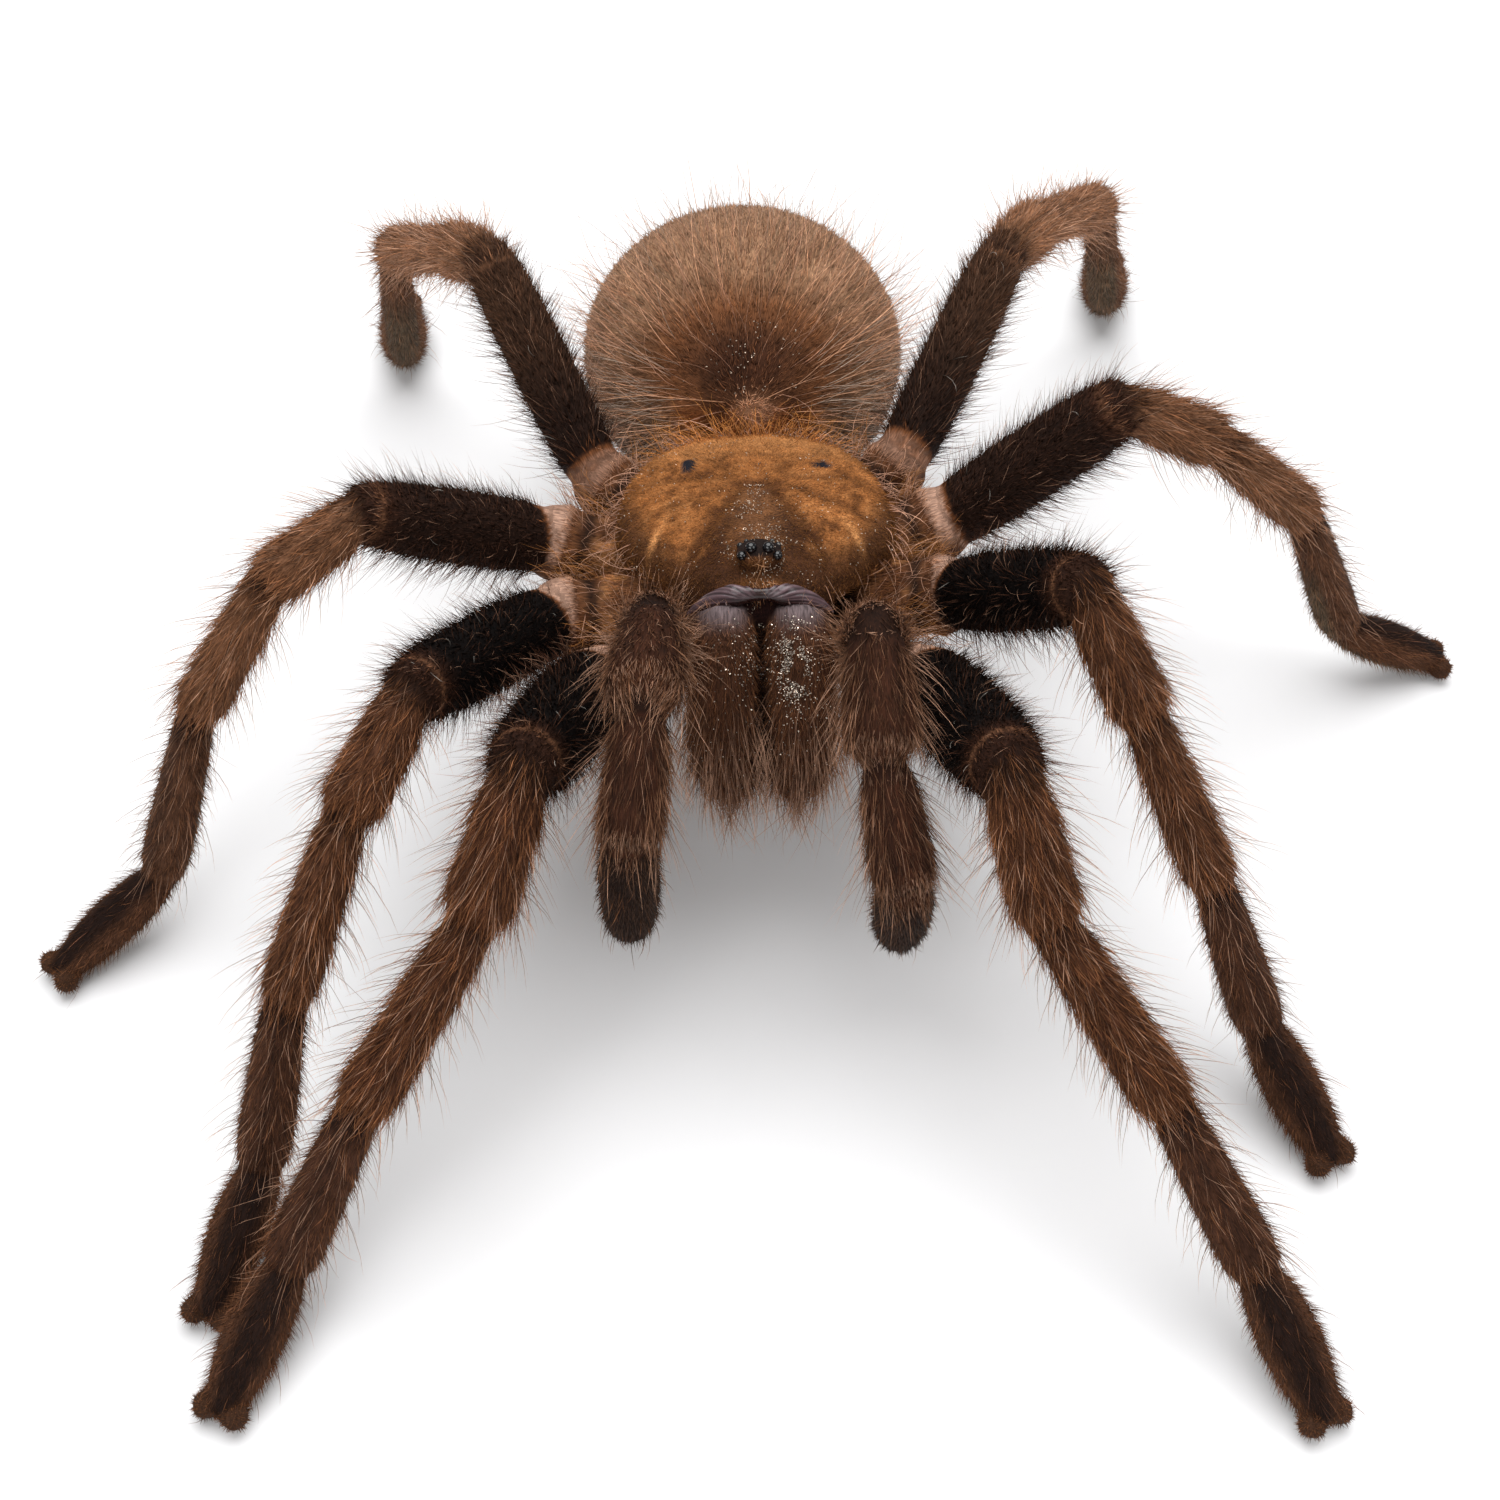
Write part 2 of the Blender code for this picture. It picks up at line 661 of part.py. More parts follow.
def chelicerae(parts, near):
    draw = random.Random(f"{SEED} chelicerae")
    pitch = Matrix.Rotation(math.radians(BODY_PITCH), 3, "X")
    forward = pitch @ Vector((0, -1, 0))
    for side, sign in (("left", 1), ("right", -1)):
        path = [body_point((sign * x, y, z)) for x, y, z in CHELICERA_PATH]
        widths = [CHELICERA_RADIUS * factor for factor in CHELICERA_TAPER]
        cuts = [
            (body_point((0, CLYPEUS_Y - GAP, 0)), -forward),
            (Vector((sign * GAP / 2, 0, 0)), Vector((-sign, 0, 0))),
        ]
        node = f"chelicera_{side}"
        shapes = [tube(path, widths, 10)]
        shapes += chelicera_locks(near, node, draw, path, forward, cuts)
        add_node(parts, node, shapes, LEG_BROWN, 0.6, cuts)
        add_node(parts, f"fang_{side}", [fang(sign)], EYE_BLACK, 0.25)


def abdomen_point(along, turn):
    """A point of the abdomen at a share of its length, -1 to 1, and a turn about its axis."""
    ring = math.sqrt(max(0.0, 1 - along * along))
    wide = 1 + ABDOMEN_REAR * along - ABDOMEN_ENDS * along * along
    unit = Vector((ring * math.sin(turn) * wide, along, ring * math.cos(turn) * wide))
    return Vector([part * full / 2 for part, full in zip(unit, ABDOMEN_SIZE)])


def abdomen_locks(near, centre, turn):
    """Long hair spread evenly over the abdomen, fanning back from its front."""
    draw = random.Random(f"{SEED} abdomen")
    first, last = ABDOMEN_LOCK_RANGE
    locks = []
    for index in range(ABDOMEN_LOCKS):
        along = first + (last - first) * (index + 0.5) / ABDOMEN_LOCKS
        angle = math.radians(SPIRAL_STEP * index)
        local = abdomen_point(along, angle)
        out = Vector([part / full**2 for part, full in zip(local, ABDOMEN_SIZE)]).normalized()
        root = centre + turn @ local
        length = ABDOMEN_LOCK_LENGTH * draw.uniform(0.8, 1.15)
        back = turn @ Vector((0, 1, 0))
        made = lock(draw, root, turn @ out, back, length, BODY_LOCK_ANGLES, BODY_LOCK_WIDTH)
        if near.fits("abdomen", made, [FLOOR]):
            locks.append(made)
    return locks


def rear_body(parts, near):
    centre = Vector(ABDOMEN_CENTRE)
    pitch = Matrix.Rotation(math.radians(ABDOMEN_PITCH), 4, "X")
    shape = ball((1, 1, 1), (0, 0, 0), across=18, along=12)
    for vert in shape.verts:
        across, along, up = vert.co * 2
        local = abdomen_point(along, math.atan2(across, up))
        vert.co = centre + pitch.to_3x3() @ local
    shapes = [shape] + abdomen_locks(near, centre, pitch.to_3x3())
    add_node(parts, "abdomen", shapes, ABDOMEN_TAN, 0.8)
    front = centre + pitch.to_3x3() @ Vector((0, -ABDOMEN_SIZE[1] / 2, 0))
    hind = body_point((0, CARAPACE_LENGTH / 2, -1.0))
    step = (front - hind).normalized()
    path = [hind + step * 2 * GAP, front - step * 2 * GAP]
    add_node(parts, "pedicel", [tube(path, [PEDICEL_RADIUS] * 2)], LEG_BROWN, 0.6)
    for side, sign in (("left", 1), ("right", -1)):
        across, along, up = SPINNERET_ROOT
        local = Vector((sign * across, ABDOMEN_SIZE[1] / 2 * along, up))
        root = centre + pitch.to_3x3() @ local
        aim = Vector((sign * SPINNERET_AIM[0], *SPINNERET_AIM[1:])).normalized()
        path = [root + aim * (GAP + SPINNERET_LENGTH * s) for s, _ in SPINNERET_PROFILE]
        widths = [SPINNERET_RADIUS * factor for _, factor in SPINNERET_PROFILE]
        add_node(parts, f"spinneret_{side}", [tube(path, widths, 6)], LEG_BROWN, 0.7)


def stand_on_origin(parts):
    """Moves the model so that its origin is the middle of its box, at floor level."""
    corners = [vert.co for obj in parts.objects for vert in obj.data.vertices]
    low = [min(c[axis] for c in corners) for axis in range(3)]
    high = [max(c[axis] for c in corners) for axis in range(3)]
    move = Vector((-(low[0] + high[0]) / 2, -(low[1] + high[1]) / 2, -low[2]))
    for obj in parts.objects:
        obj.data.transform(Matrix.Translation(move))


def neighbours(limbs):
    """The bodies without their locks, as rods and ellipsoids a little larger than them."""
    near = Neighbours()
    pitch = Matrix.Rotation(math.radians(BODY_PITCH), 3, "X")
    for prefix, names, joints, radii in limbs:
        planes = limb_planes(joints, coxa_inner(joints[0]))
        for index, name in enumerate(names):
            start, end = joints[index], joints[index + 1]
            bounds = [(start, -planes[index])]
            if index + 1 < len(planes):
                bounds.append((end, planes[index + 1]))
            spare = (end - start).normalized() * radii[index]
            near.add_rod(f"{prefix}_{name}", start - spare, end + spare, radii[index], bounds)
        radius = COXA_RADII[prefix.split("_")[0]]
        near.add_rod("cephalothorax", coxa_inner(joints[0]), joints[0], radius)
    for side, sign in (("left", 1), ("right", -1)):
        path = [body_point((sign * x, y, z)) for x, y, z in CHELICERA_PATH]
        for start, end in zip(path, path[1:]):
            near.add_rod(f"chelicera_{side}", start, end, CHELICERA_RADIUS)
    shield = (CARAPACE_WIDTH, CARAPACE_LENGTH, 2 * (CARAPACE_HEIGHT + CAPUT_RISE))
    near.add_egg("cephalothorax", body_point((0, 0, 0)), shield, pitch)
    turn = Matrix.Rotation(math.radians(ABDOMEN_PITCH), 3, "X")
    near.add_egg("abdomen", Vector(ABDOMEN_CENTRE), ABDOMEN_SIZE, turn)
    return near


def main():
    clear_scene()
    parts = make_collection()
    leg_colours = dict(
        femur=BLACK_BROWN,
        patella=LEG_BROWN,
        tibia=LEG_BROWN,
        metatarsus=FOOT_BROWN,
        tarsus=FOOT_BROWN,
    )
    limbs = []
    for number, side in POSTURE:
        limbs.append((f"leg{number}_{side}", SEGMENTS, leg_joints(number, side), RADII[number]))
    for side in PALP_POSTURE:
        limbs.append((f"palp_{side}", PALP_SEGMENTS, palp_joints(side), PALP_RADII))
    near = neighbours(limbs)
    for prefix, names, joints, radii in limbs:
        is_leg = prefix.startswith("leg")
        counts = SEGMENT_LOCKS if is_leg else PALP_LOCKS
        limb_nodes(parts, near, prefix, names, joints, radii, leg_colours, is_leg, counts)
    front_body(parts, near, limbs)
    eye_tubercle(parts)
    chelicerae(parts, near)
    rear_body(parts, near)
    stand_on_origin(parts)


main()
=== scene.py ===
"""Looks of the Texas tan tarantula: one soft skin, its eyes, fangs and face, and the coat of hair.

Sizes are in millimetres in the stance frame of the solids, whose origin lies on the floor under
the middle of the carapace. to_frame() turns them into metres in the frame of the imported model.
"""

import math
from collections import namedtuple

import bpy
import numpy as np
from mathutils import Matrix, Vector


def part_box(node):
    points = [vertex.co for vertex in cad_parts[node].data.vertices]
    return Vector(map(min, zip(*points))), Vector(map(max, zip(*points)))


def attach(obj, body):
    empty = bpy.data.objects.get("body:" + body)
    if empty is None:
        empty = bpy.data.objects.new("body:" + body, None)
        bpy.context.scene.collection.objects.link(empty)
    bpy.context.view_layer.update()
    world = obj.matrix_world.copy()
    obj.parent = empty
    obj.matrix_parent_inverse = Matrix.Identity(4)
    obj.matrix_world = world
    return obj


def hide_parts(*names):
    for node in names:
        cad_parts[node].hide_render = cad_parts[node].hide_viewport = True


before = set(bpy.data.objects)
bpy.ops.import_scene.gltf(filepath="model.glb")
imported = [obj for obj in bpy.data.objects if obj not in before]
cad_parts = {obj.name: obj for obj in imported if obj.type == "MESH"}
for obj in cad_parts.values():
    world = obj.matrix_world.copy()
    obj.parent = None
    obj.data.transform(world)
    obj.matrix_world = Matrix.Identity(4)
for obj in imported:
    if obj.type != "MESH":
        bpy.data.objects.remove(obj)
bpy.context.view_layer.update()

MM = 0.001
SEED = 7
UP = (0, 0, 1.0)

# Body, as in the solids
BODY_HEIGHT = 17.4
BODY_PITCH = -11.0
CARAPACE_LENGTH = 20.6
CARAPACE_WIDTH = 17.4
CARAPACE_HEIGHT = 3.5
CARAPACE_SQUARENESS = 0.62
CARAPACE_FULLNESS = 0.22
CARAPACE_UNDERSIDE = 1.3
CAPUT_RISE = 0.9
CAPUT_SHARE = 0.62
CAPUT_SPREAD = 0.55
CAPUT_START = 0.15
CAPUT_RUN = 0.75
STERNUM_SIZE = (9.5, 15.0, 4.6)
STERNUM_PLACE = (0.0, -0.5, -3.6)
TUBERCLE_SIZE = (2.9, 2.1, 1.9)
TUBERCLE_Y = -7.8
TUBERCLE_GAP = 0.3
CHELICERA_RADIUS = 2.05
CHELICERA_PATH = (
    (2.3, -9.6, 0.2),
    (2.35, -12.4, -1.0),
    (2.35, -14.0, -3.9),
    (2.2, -14.4, -6.9),
    (2.0, -13.9, -8.8),
)
CHELICERA_TAPER = (1.0, 1.06, 1.1, 1.0, 0.55)
CHELICERA_UPPER = (0, -1, 0.4)
FANG_ROOT = 0.67
FANG_TIP = 0.03
FANG_LENGTH = 6.0
FANG_PLACE = (2.0, -13.6, -9.4)
FANG_FIRST_TURN = 10
FANG_TURN = 120
FANG_DEPTH = 0.55
FANG_STEPS = 16
FANG_SIDES = 16
PEDICEL_RADIUS = 1.3
ABDOMEN_CENTRE = (-0.3, 23.1, 12.7)
ABDOMEN_SIZE = (22.2, 24.6, 19.4)
ABDOMEN_PITCH = -6.0
ABDOMEN_REAR = 0.07
ABDOMEN_ENDS = 0.05
SPINNERET_LENGTH = 4.6
SPINNERET_RADIUS = 0.75
SPINNERET_ROOT = (1.5, 0.985, -1.2)
SPINNERET_AIM = (0.25, 1.0, 0.3)
SIDES = (("left", 1), ("right", -1))

# Finer than the solids: each eye's place and radius, how deep it is sunk in the knob, and how far
# the skin of each chelicera is drawn towards its neighbour
EYE_PAIRS = ((0.5, -0.45, 0.35), (1.03, -0.6, 0.3), (1.1, 0.35, 0.2), (0.74, 0.5, 0.15))
EYE_SINK = (0.05, 0.1, 0.14, 0.1)
CHELICERA_LEAN = 0.12

# Legs and palps: lengths and radii of the segments, as in the solids apart from the hind femora,
# whose skin is slimmer
SEGMENTS = ("femur", "patella", "tibia", "metatarsus", "tarsus")
PALP_SEGMENTS = ("palp_femur", "palp_patella", "palp_tibia", "hoof")
LENGTHS = {
    1: (15.3, 8.6, 11.8, 10.1, 7.6),
    2: (14.9, 7.7, 10.6, 10.1, 7.9),
    3: (13.4, 6.8, 9.1, 12.0, 8.1),
    4: (15.4, 7.2, 12.3, 14.9, 8.8),
}
RADII = {
    1: (2.5, 2.1, 1.8, 1.55, 1.6),
    2: (2.3, 1.9, 1.7, 1.5, 1.55),
    3: (2.25, 1.85, 1.7, 1.45, 1.45),
    4: (1.98, 1.95, 1.75, 1.3, 1.6),
}
PALP_LENGTHS = (10.2, 6.7, 7.9, 6.0)
PALP_RADII = (1.95, 2.0, 1.85, 1.8)
# For each limb: where its femur starts, then the yaw and the pitch of its segments in degrees.
# The pitch of a leg's last segment follows from the height of its tip.
POSTURE = {
    (1, "left"): ((9.7, -10.3, 15.3), (-77, -67, -55, -56, -66), (27, -49, -27, -36)),
    (1, "right"): ((9.7, -10.0, 15.3), (-76, -61, -55, -49, -66), (28, -48, -25, -48)),
    (2, "left"): ((11.9, -4.0, 16.0), (-59, -58, -53, -50, -64), (41, -40, -49, -58)),
    (2, "right"): ((12.4, -5.0, 15.6), (-59, -64, -65, -70, -70), (24, -18, -38, -55)),
    (3, "left"): ((11.9, 2.5, 16.0), (1, -2, 3, 8, 5), (42, -24, -44, -67)),
    (3, "right"): ((12.9, 1.5, 15.9), (-26, -40, -39, -45, -38), (32, -11, -47, -65)),
    (4, "left"): ((9.5, 8.5, 15.5), (57, 62, 58, 67, 81), (33, -16, -25, -63)),
    (4, "right"): ((9.9, 7.6, 15.5), (53, 61, 60, 79, 83), (45, -27, -32, -67)),
}
PALP_POSTURE = {
    "left": ((6.6, -10.4, 16.9), (-96, -88, -73, -88), (56, -35, -55, -103)),
    "right": ((6.6, -10.4, 16.9), (-96, -87, -79, -80), (60, 9, -48, -83)),
}
TIP_HEIGHT = 1.15
# How far the upper face of each leg is turned towards the middle, in degrees
LEG_LEAN = {1: 22.0, 2: 18.0, 3: 8.0, 4: 0.0}
# The two pads of hair over the claws of each foot
TUFT_SIZE = 1.52
TUFT_SPREAD = 0.86
TUFT_INSET = -0.2
COXA_RADII = {"leg1": 2.2, "leg2": 2.75, "leg3": 2.75, "leg4": 2.5, "palp": 1.6}
COXA_INNER = (3.6, 0.55)
COXA_DROP = 4.0

# Skin: how deep it lies under the top of the short fur, and its detail
SKIN_DEPTH = 0.22
SKIN_VOXEL = 0.3
SKIN_SMOOTHING = 3
FLOOR_CLEARANCE = 0.06
# Shares of the length of each part, and its thickness there
SKIN_PROFILES = {
    "femur": ((0, 0.04, 0.12, 0.4, 0.78, 0.93, 1), (0.9, 1, 1.03, 1.09, 1.04, 0.95, 0.86)),
    "patella": ((0, 0.12, 0.35, 0.6, 0.86, 0.94, 1), (0.74, 0.88, 0.97, 0.98, 1.03, 0.98, 0.8)),
    "tibia": ((0, 0.12, 0.4, 0.65, 0.88, 0.95, 1), (0.76, 0.88, 0.96, 0.98, 1.02, 0.96, 0.78)),
    "metatarsus": ((0, 0.1, 0.35, 0.6, 0.8, 0.93, 1), (0.8, 0.96, 1.05, 1.12, 1.16, 1.08, 0.82)),
    "tarsus": ((0, 0.1, 0.3, 0.5, 0.75, 0.92, 1), (0.8, 1.02, 1.14, 1.17, 1.04, 0.84, 0.66)),
    "palp_femur": ((0, 0.1, 0.45, 0.85, 1), (0.76, 0.9, 1, 0.98, 0.84)),
    "palp_patella": ((0, 0.14, 0.4, 0.75, 0.93, 0.98, 1), (0.72, 0.92, 1.04, 1.12, 1.12, 1, 0.86)),
    "palp_tibia": ((0, 0.12, 0.35, 0.75, 0.94, 0.98, 1), (0.6, 0.78, 0.98, 1.05, 1.02, 0.92, 0.78)),
    "hoof": ((0, 0.1, 0.3, 0.6, 0.85, 1), (0.84, 0.98, 1.02, 1, 0.93, 0.78)),
    "coxa": ((0, 0.3, 0.56, 0.66, 0.72, 0.79, 0.88, 1), (0.8, 0.98, 1.04, 0.94, 0.92, 0.84, 1, 0.93)),
    "spinneret": ((0, 0.36, 0.42, 0.72, 0.78, 1), (1, 0.94, 0.8, 0.76, 0.6, 0.4)),
    "chelicera": ((0, 1), (1, 1)),
    "pedicel": ((0, 1), (1, 1)),
}

# Camera and photograph
PHOTO_SIDE = 1500
FOCAL_PIXELS = 2295.0
SENSOR = 36.0
CAMERA_TURN = -1.45
CAMERA_RISE = 48.16
CAMERA_DISTANCE = 152.48
CAMERA_TARGET = (-0.42, -2.11, 0.0)


def rotation_x(degrees):
    """The matrix that turns row vectors about X."""
    c = math.cos(math.radians(degrees))
    s = math.sin(math.radians(degrees))
    return np.array([[1, 0, 0], [0, c, s], [0, -s, c]])


BODY_TURN = rotation_x(BODY_PITCH)
ABDOMEN_TURN = rotation_x(ABDOMEN_PITCH)


def from_body(points):
    """Points of the carapace's own frame, in the stance frame."""
    return np.asarray(points, float) @ BODY_TURN + (0, 0, BODY_HEIGHT)


def to_body(points):
    return (np.asarray(points, float) - (0, 0, BODY_HEIGHT)) @ BODY_TURN.T


def from_abdomen(points):
    return np.asarray(points, float) @ ABDOMEN_TURN + ABDOMEN_CENTRE


def to_abdomen(points):
    return (np.asarray(points, float) - ABDOMEN_CENTRE) @ ABDOMEN_TURN.T


def pedicel_ends():
    """Where the stalk leaves the front body and where it enters the abdomen."""
    hind = from_body((0, CARAPACE_LENGTH / 2, -1.0))
    return hind, from_abdomen((0, -ABDOMEN_SIZE[1] / 2, 0))


def frame_shift():
    """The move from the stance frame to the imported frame, read off the pedicel's box."""
    low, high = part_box("pedicel")
    return np.array((low + high) / 2) - sum(pedicel_ends()) / 2 * MM


SHIFT = frame_shift()


def to_frame(points):
    return np.asarray(points, float) * MM + SHIFT


def unit(vectors):
    return vectors / np.maximum(np.linalg.norm(vectors, axis=-1, keepdims=True), 1e-9)


def laid_flat(vectors, normals):
    """The directions of vectors once they are laid on the skin."""
    return unit(vectors - normals * np.sum(vectors * normals, axis=1, keepdims=True))


def smooth(value, low, high):
    """0 below low, 1 above high and smooth between them."""
    share = np.clip((np.asarray(value, float) - low) / (high - low), 0, 1)
    return share * share * (3 - 2 * share)


def fade(value, low, high):
    return 1 - smooth(value, low, high)


def bell(value, middle, width):
    return np.exp(-(((np.asarray(value, float) - middle) / width) ** 2))


def linear(red, green, blue):
    """A colour read in sRGB values from 0 to 255, as linear light."""
    share = np.array((red, green, blue), float) / 255
    return np.where(share < 0.04045, share / 12.92, ((share + 0.055) / 1.055) ** 2.4)


def circle(count):
    """Angles spread evenly round a ring."""
    return np.linspace(0, 2 * math.pi, count, endpoint=False)


def columns(*parts):
    """Coordinates side by side in the last axis."""
    return np.stack(np.broadcast_arrays(*parts), axis=-1)


def ring_quads(rings, sides):
    """The corners of the quads between closed rings of points, one row for each quad."""
    low = np.arange(rings - 1)[:, None] * sides
    i = np.arange(sides)
    j = (i + 1) % sides
    return columns(low + i, low + j, low + sides + j, low + sides + i).reshape(-1, 4)


class Rod:
    """A round bar of flesh, such as a limb segment, with its own lie and upper face."""

    def __init__(self, limb, kind, start, end, radius, upper=UP):
        self.limb = limb
        self.kind = kind
        self.start = np.asarray(start, float)
        self.end = np.asarray(end, float)
        self.radius = radius
        self.length = np.linalg.norm(self.end - self.start)
        self.aim = (self.end - self.start) / self.length
        upper = np.asarray(upper, float)
        self.upper = unit(upper - self.aim * (upper @ self.aim))
        self.side = np.cross(self.aim, self.upper)

    def radius_at(self, share):
        return self.radius * np.interp(share, *SKIN_PROFILES[self.kind]) - SKIN_DEPTH

    def locate(self, points):
        """Share of the length, turn from the upper face, and distance outside the surface."""
        local = points - self.start
        share = local @ self.aim / self.length
        inside = np.clip(share, 0, 1)
        radial = local - (inside * self.length)[:, None] * self.aim
        turn = np.arctan2(radial @ self.side, radial @ self.upper)
        return share, turn, np.linalg.norm(radial, axis=1) - self.radius_at(inside)


class Egg:
    """An ellipsoid of flesh, such as the abdomen, whose coat lies along +Y of its own frame."""

    def __init__(self, limb, kind, centre, size, turn):
        self.limb = limb
        self.kind = kind
        self.centre = np.asarray(centre, float)
        self.half = np.asarray(size, float) / 2 - SKIN_DEPTH
        self.turn = turn
        self.aim = np.array([0.0, 1.0, 0.0]) @ turn

    def locate(self, points):
        local = (points - self.centre) @ self.turn.T
        scaled = np.linalg.norm(local / self.half, axis=1)
        steep = np.linalg.norm(local / self.half**2, axis=1)
        gap = scaled * (scaled - 1) / np.maximum(steep, 1e-9)
        share = (local[:, 1] / self.half[1] + 1) / 2
        return share, np.arctan2(local[:, 0], local[:, 2]), gap


def limb_rods(limb, kinds, lengths, radii, posture, lean=0.0):
    """A leg or palp as rods, from the coxa inside the body outwards."""
    root, yaws, pitches = posture
    lean = math.radians(lean)
    sign = dict(SIDES)[limb.split("_")[1]]
    start = np.array([sign * root[0], root[1], root[2]])
    inner = from_body((sign * COXA_INNER[0], start[1] * COXA_INNER[1], -COXA_DROP))
    rods = [Rod(limb, "coxa", inner, start, COXA_RADII[limb.split("_")[0]])]
    rise = np.array(UP)
    for kind, length, radius, yaw, pitch in zip(kinds, lengths, radii, yaws, (*pitches, None)):
        if pitch is None:
            pitch = math.asin((TIP_HEIGHT - start[2]) / length)
        else:
            pitch = math.radians(pitch)
        yaw = math.radians(yaw)
        outward = np.array([sign * math.cos(yaw), math.sin(yaw), 0])
        aim = outward * math.cos(pitch) + rise * math.sin(pitch)
        upper = rise * math.cos(pitch) - outward * math.sin(pitch)
        side = np.cross(aim, upper) * sign
        end = start + aim * length
        rods.append(Rod(limb, kind, start, end, radius, upper * math.cos(lean) + side * math.sin(lean)))
        start = end
    return rods


# Every leg and palp as a list of rods
LIMBS = {
    f"leg{n}_{side}": limb_rods(f"leg{n}_{side}", SEGMENTS, LENGTHS[n], RADII[n], posture, LEG_LEAN[n])
    for (n, side), posture in POSTURE.items()
}
for side, posture in PALP_POSTURE.items():
    name = f"palp_{side}"
    LIMBS[name] = limb_rods(name, PALP_SEGMENTS, PALP_LENGTHS, PALP_RADII, posture)


def caput_share(along):
    """0 on the thorax to 1 at the front of the head, at a share of the shield's length."""
    return np.clip((-along - CAPUT_START) / CAPUT_RUN, 0, 1)


def shield_height(across, along, up):
    rise = CAPUT_RISE * np.exp(-((across / CAPUT_SPREAD) ** 2)) * caput_share(along)
    return np.maximum(up, 0) ** CARAPACE_SQUARENESS * (CARAPACE_HEIGHT + rise)


def shield_width(along):
    """Half the width of the shield at a share of its length."""
    front = caput_share(along)
    narrow = 1 - (1 - CAPUT_SHARE) * front * front * (3 - 2 * front)
    return CARAPACE_WIDTH / 2 * narrow * (1 + CARAPACE_FULLNESS * along * along)


def tubercle_base():
    along = TUBERCLE_Y / CARAPACE_LENGTH * 2
    top = shield_height(0, along, math.sqrt(1 - along * along))
    return np.array([0, TUBERCLE_Y, top + TUBERCLE_GAP])


def add_object(name, data):
    obj = bpy.data.objects.new(name, data)
    bpy.context.scene.collection.objects.link(obj)
    return obj


# How far the round ends of a rod reach past it, and how thick they are there, in end radii
ROUND_END = ((-0.62, 0.35), (-0.5, 0.62), (-0.28, 0.87))


class Cage:
    """Closed rough shapes gathered into one mesh, for the skin to be wrapped round."""

    def __init__(self):
        self.places = []
        self.faces = []
        self.count = 0

    def add_rings(self, rings):
        """A closed loft through rings of the same number of points."""
        sides = len(rings[0])
        self.faces += (ring_quads(len(rings), sides) + self.count).tolist()
        last = self.count + (len(rings) - 1) * sides
        self.faces.append([self.count + i for i in reversed(range(sides))])
        self.faces.append([last + i for i in range(sides)])
        self.places.append(np.concatenate(rings))
        self.count += len(rings) * sides

    def add_rod(self, rod, sides=20):
        """A rod with round ends that reach a little past its joints."""
        first = rod.radius_at(0.0)
        last = rod.radius_at(1.0)
        ends = [(way * first, factor) for way, factor in ROUND_END]
        marks = [(way / rod.length, first * factor) for way, factor in ends]
        marks += [(share, rod.radius_at(share)) for share in np.linspace(0, 1, 13)]
        marks += [(1 - way / rod.length / first * last, last * f) for way, f in reversed(ends)]
        turns = circle(sides)[:, None]
        ring = np.cos(turns) * rod.side + np.sin(turns) * rod.upper
        self.add_rings([rod.start + rod.aim * rod.length * s + ring * r for s, r in marks])

    def add_path(self, points, radii, sides=20):
        """A tube through points, square to its own bends."""
        points = np.asarray(points, float)
        turns = circle(sides)[:, None]
        rings = []
        for place, aim, radius in zip(points, unit(np.gradient(points, axis=0)), radii):
            side = unit(np.cross(aim, (1.0, 0.02, 0.01)))
            other = np.cross(side, aim)
            rings.append(place + (np.cos(turns) * side + np.sin(turns) * other) * radius)
        self.add_rings(rings)

    def add_surface(self, shape, around=56, along=36):
        """A closed form from shape(across, along, up), which moves points of a unit ball."""
        turns = circle(around)
        rings = []
        for mark in np.cos(np.linspace(math.pi, 0, along + 1))[1:-1]:
            ring = math.sqrt(1 - mark * mark)
            rings.append(shape(ring * np.sin(turns), mark, ring * np.cos(turns)))
        self.add_rings(rings)

    def make_object(self, name):
        mesh = bpy.data.meshes.new(name)
        mesh.from_pydata(np.concatenate(self.places).tolist(), [], self.faces)
        return add_object(name, mesh)


def carapace_surface(across, along, up):
    """The shield over the front body, a coat's depth inside the solid."""
    x = across * (shield_width(along) - SKIN_DEPTH)
    top = shield_height(across, along, up) - SKIN_DEPTH * (up > 0)
    z = np.where(up > 0, top, up * CARAPACE_UNDERSIDE)
    return from_body(columns(x, along * (CARAPACE_LENGTH / 2 - SKIN_DEPTH), z))


def abdomen_surface(across, along, up):
    wide = 1 + ABDOMEN_REAR * along - ABDOMEN_ENDS * along * along
    half = np.array(ABDOMEN_SIZE) / 2 - SKIN_DEPTH
    return from_abdomen(columns(across * wide * half[0], along * half[1], up * wide * half[2]))


def egg_surface(centre, size, turn):
    half = np.asarray(size, float) / 2
    return lambda *place: (columns(*place) * half) @ turn + centre


def chelicera_points(sign, count=14):
    """Points and radii down the middle of a chelicera."""
    marks = np.linspace(0, len(CHELICERA_PATH) - 1, count)
    path = np.array([(sign * x, y, z) for x, y, z in CHELICERA_PATH])
    points = np.stack([np.interp(marks, range(len(path)), path[:, i]) for i in range(3)], 1)
    points[:, 0] -= sign * CHELICERA_LEAN
    radii = np.interp(marks, range(len(path)), CHELICERA_TAPER) * CHELICERA_RADIUS
    return from_body(points), radii - SKIN_DEPTH


def chelicera_rods():
    """Each chelicera as short rods, for telling where on it a point lies."""
    rods = []
    for side, sign in SIDES:
        path = [from_body((sign * x, y, z)) for x, y, z in CHELICERA_PATH]
        limb = f"chelicera_{side}"
        for start, end in zip(path, path[1:]):
            rods.append(Rod(limb, "chelicera", start, end, CHELICERA_RADIUS * 1.05, CHELICERA_UPPER))
    return rods


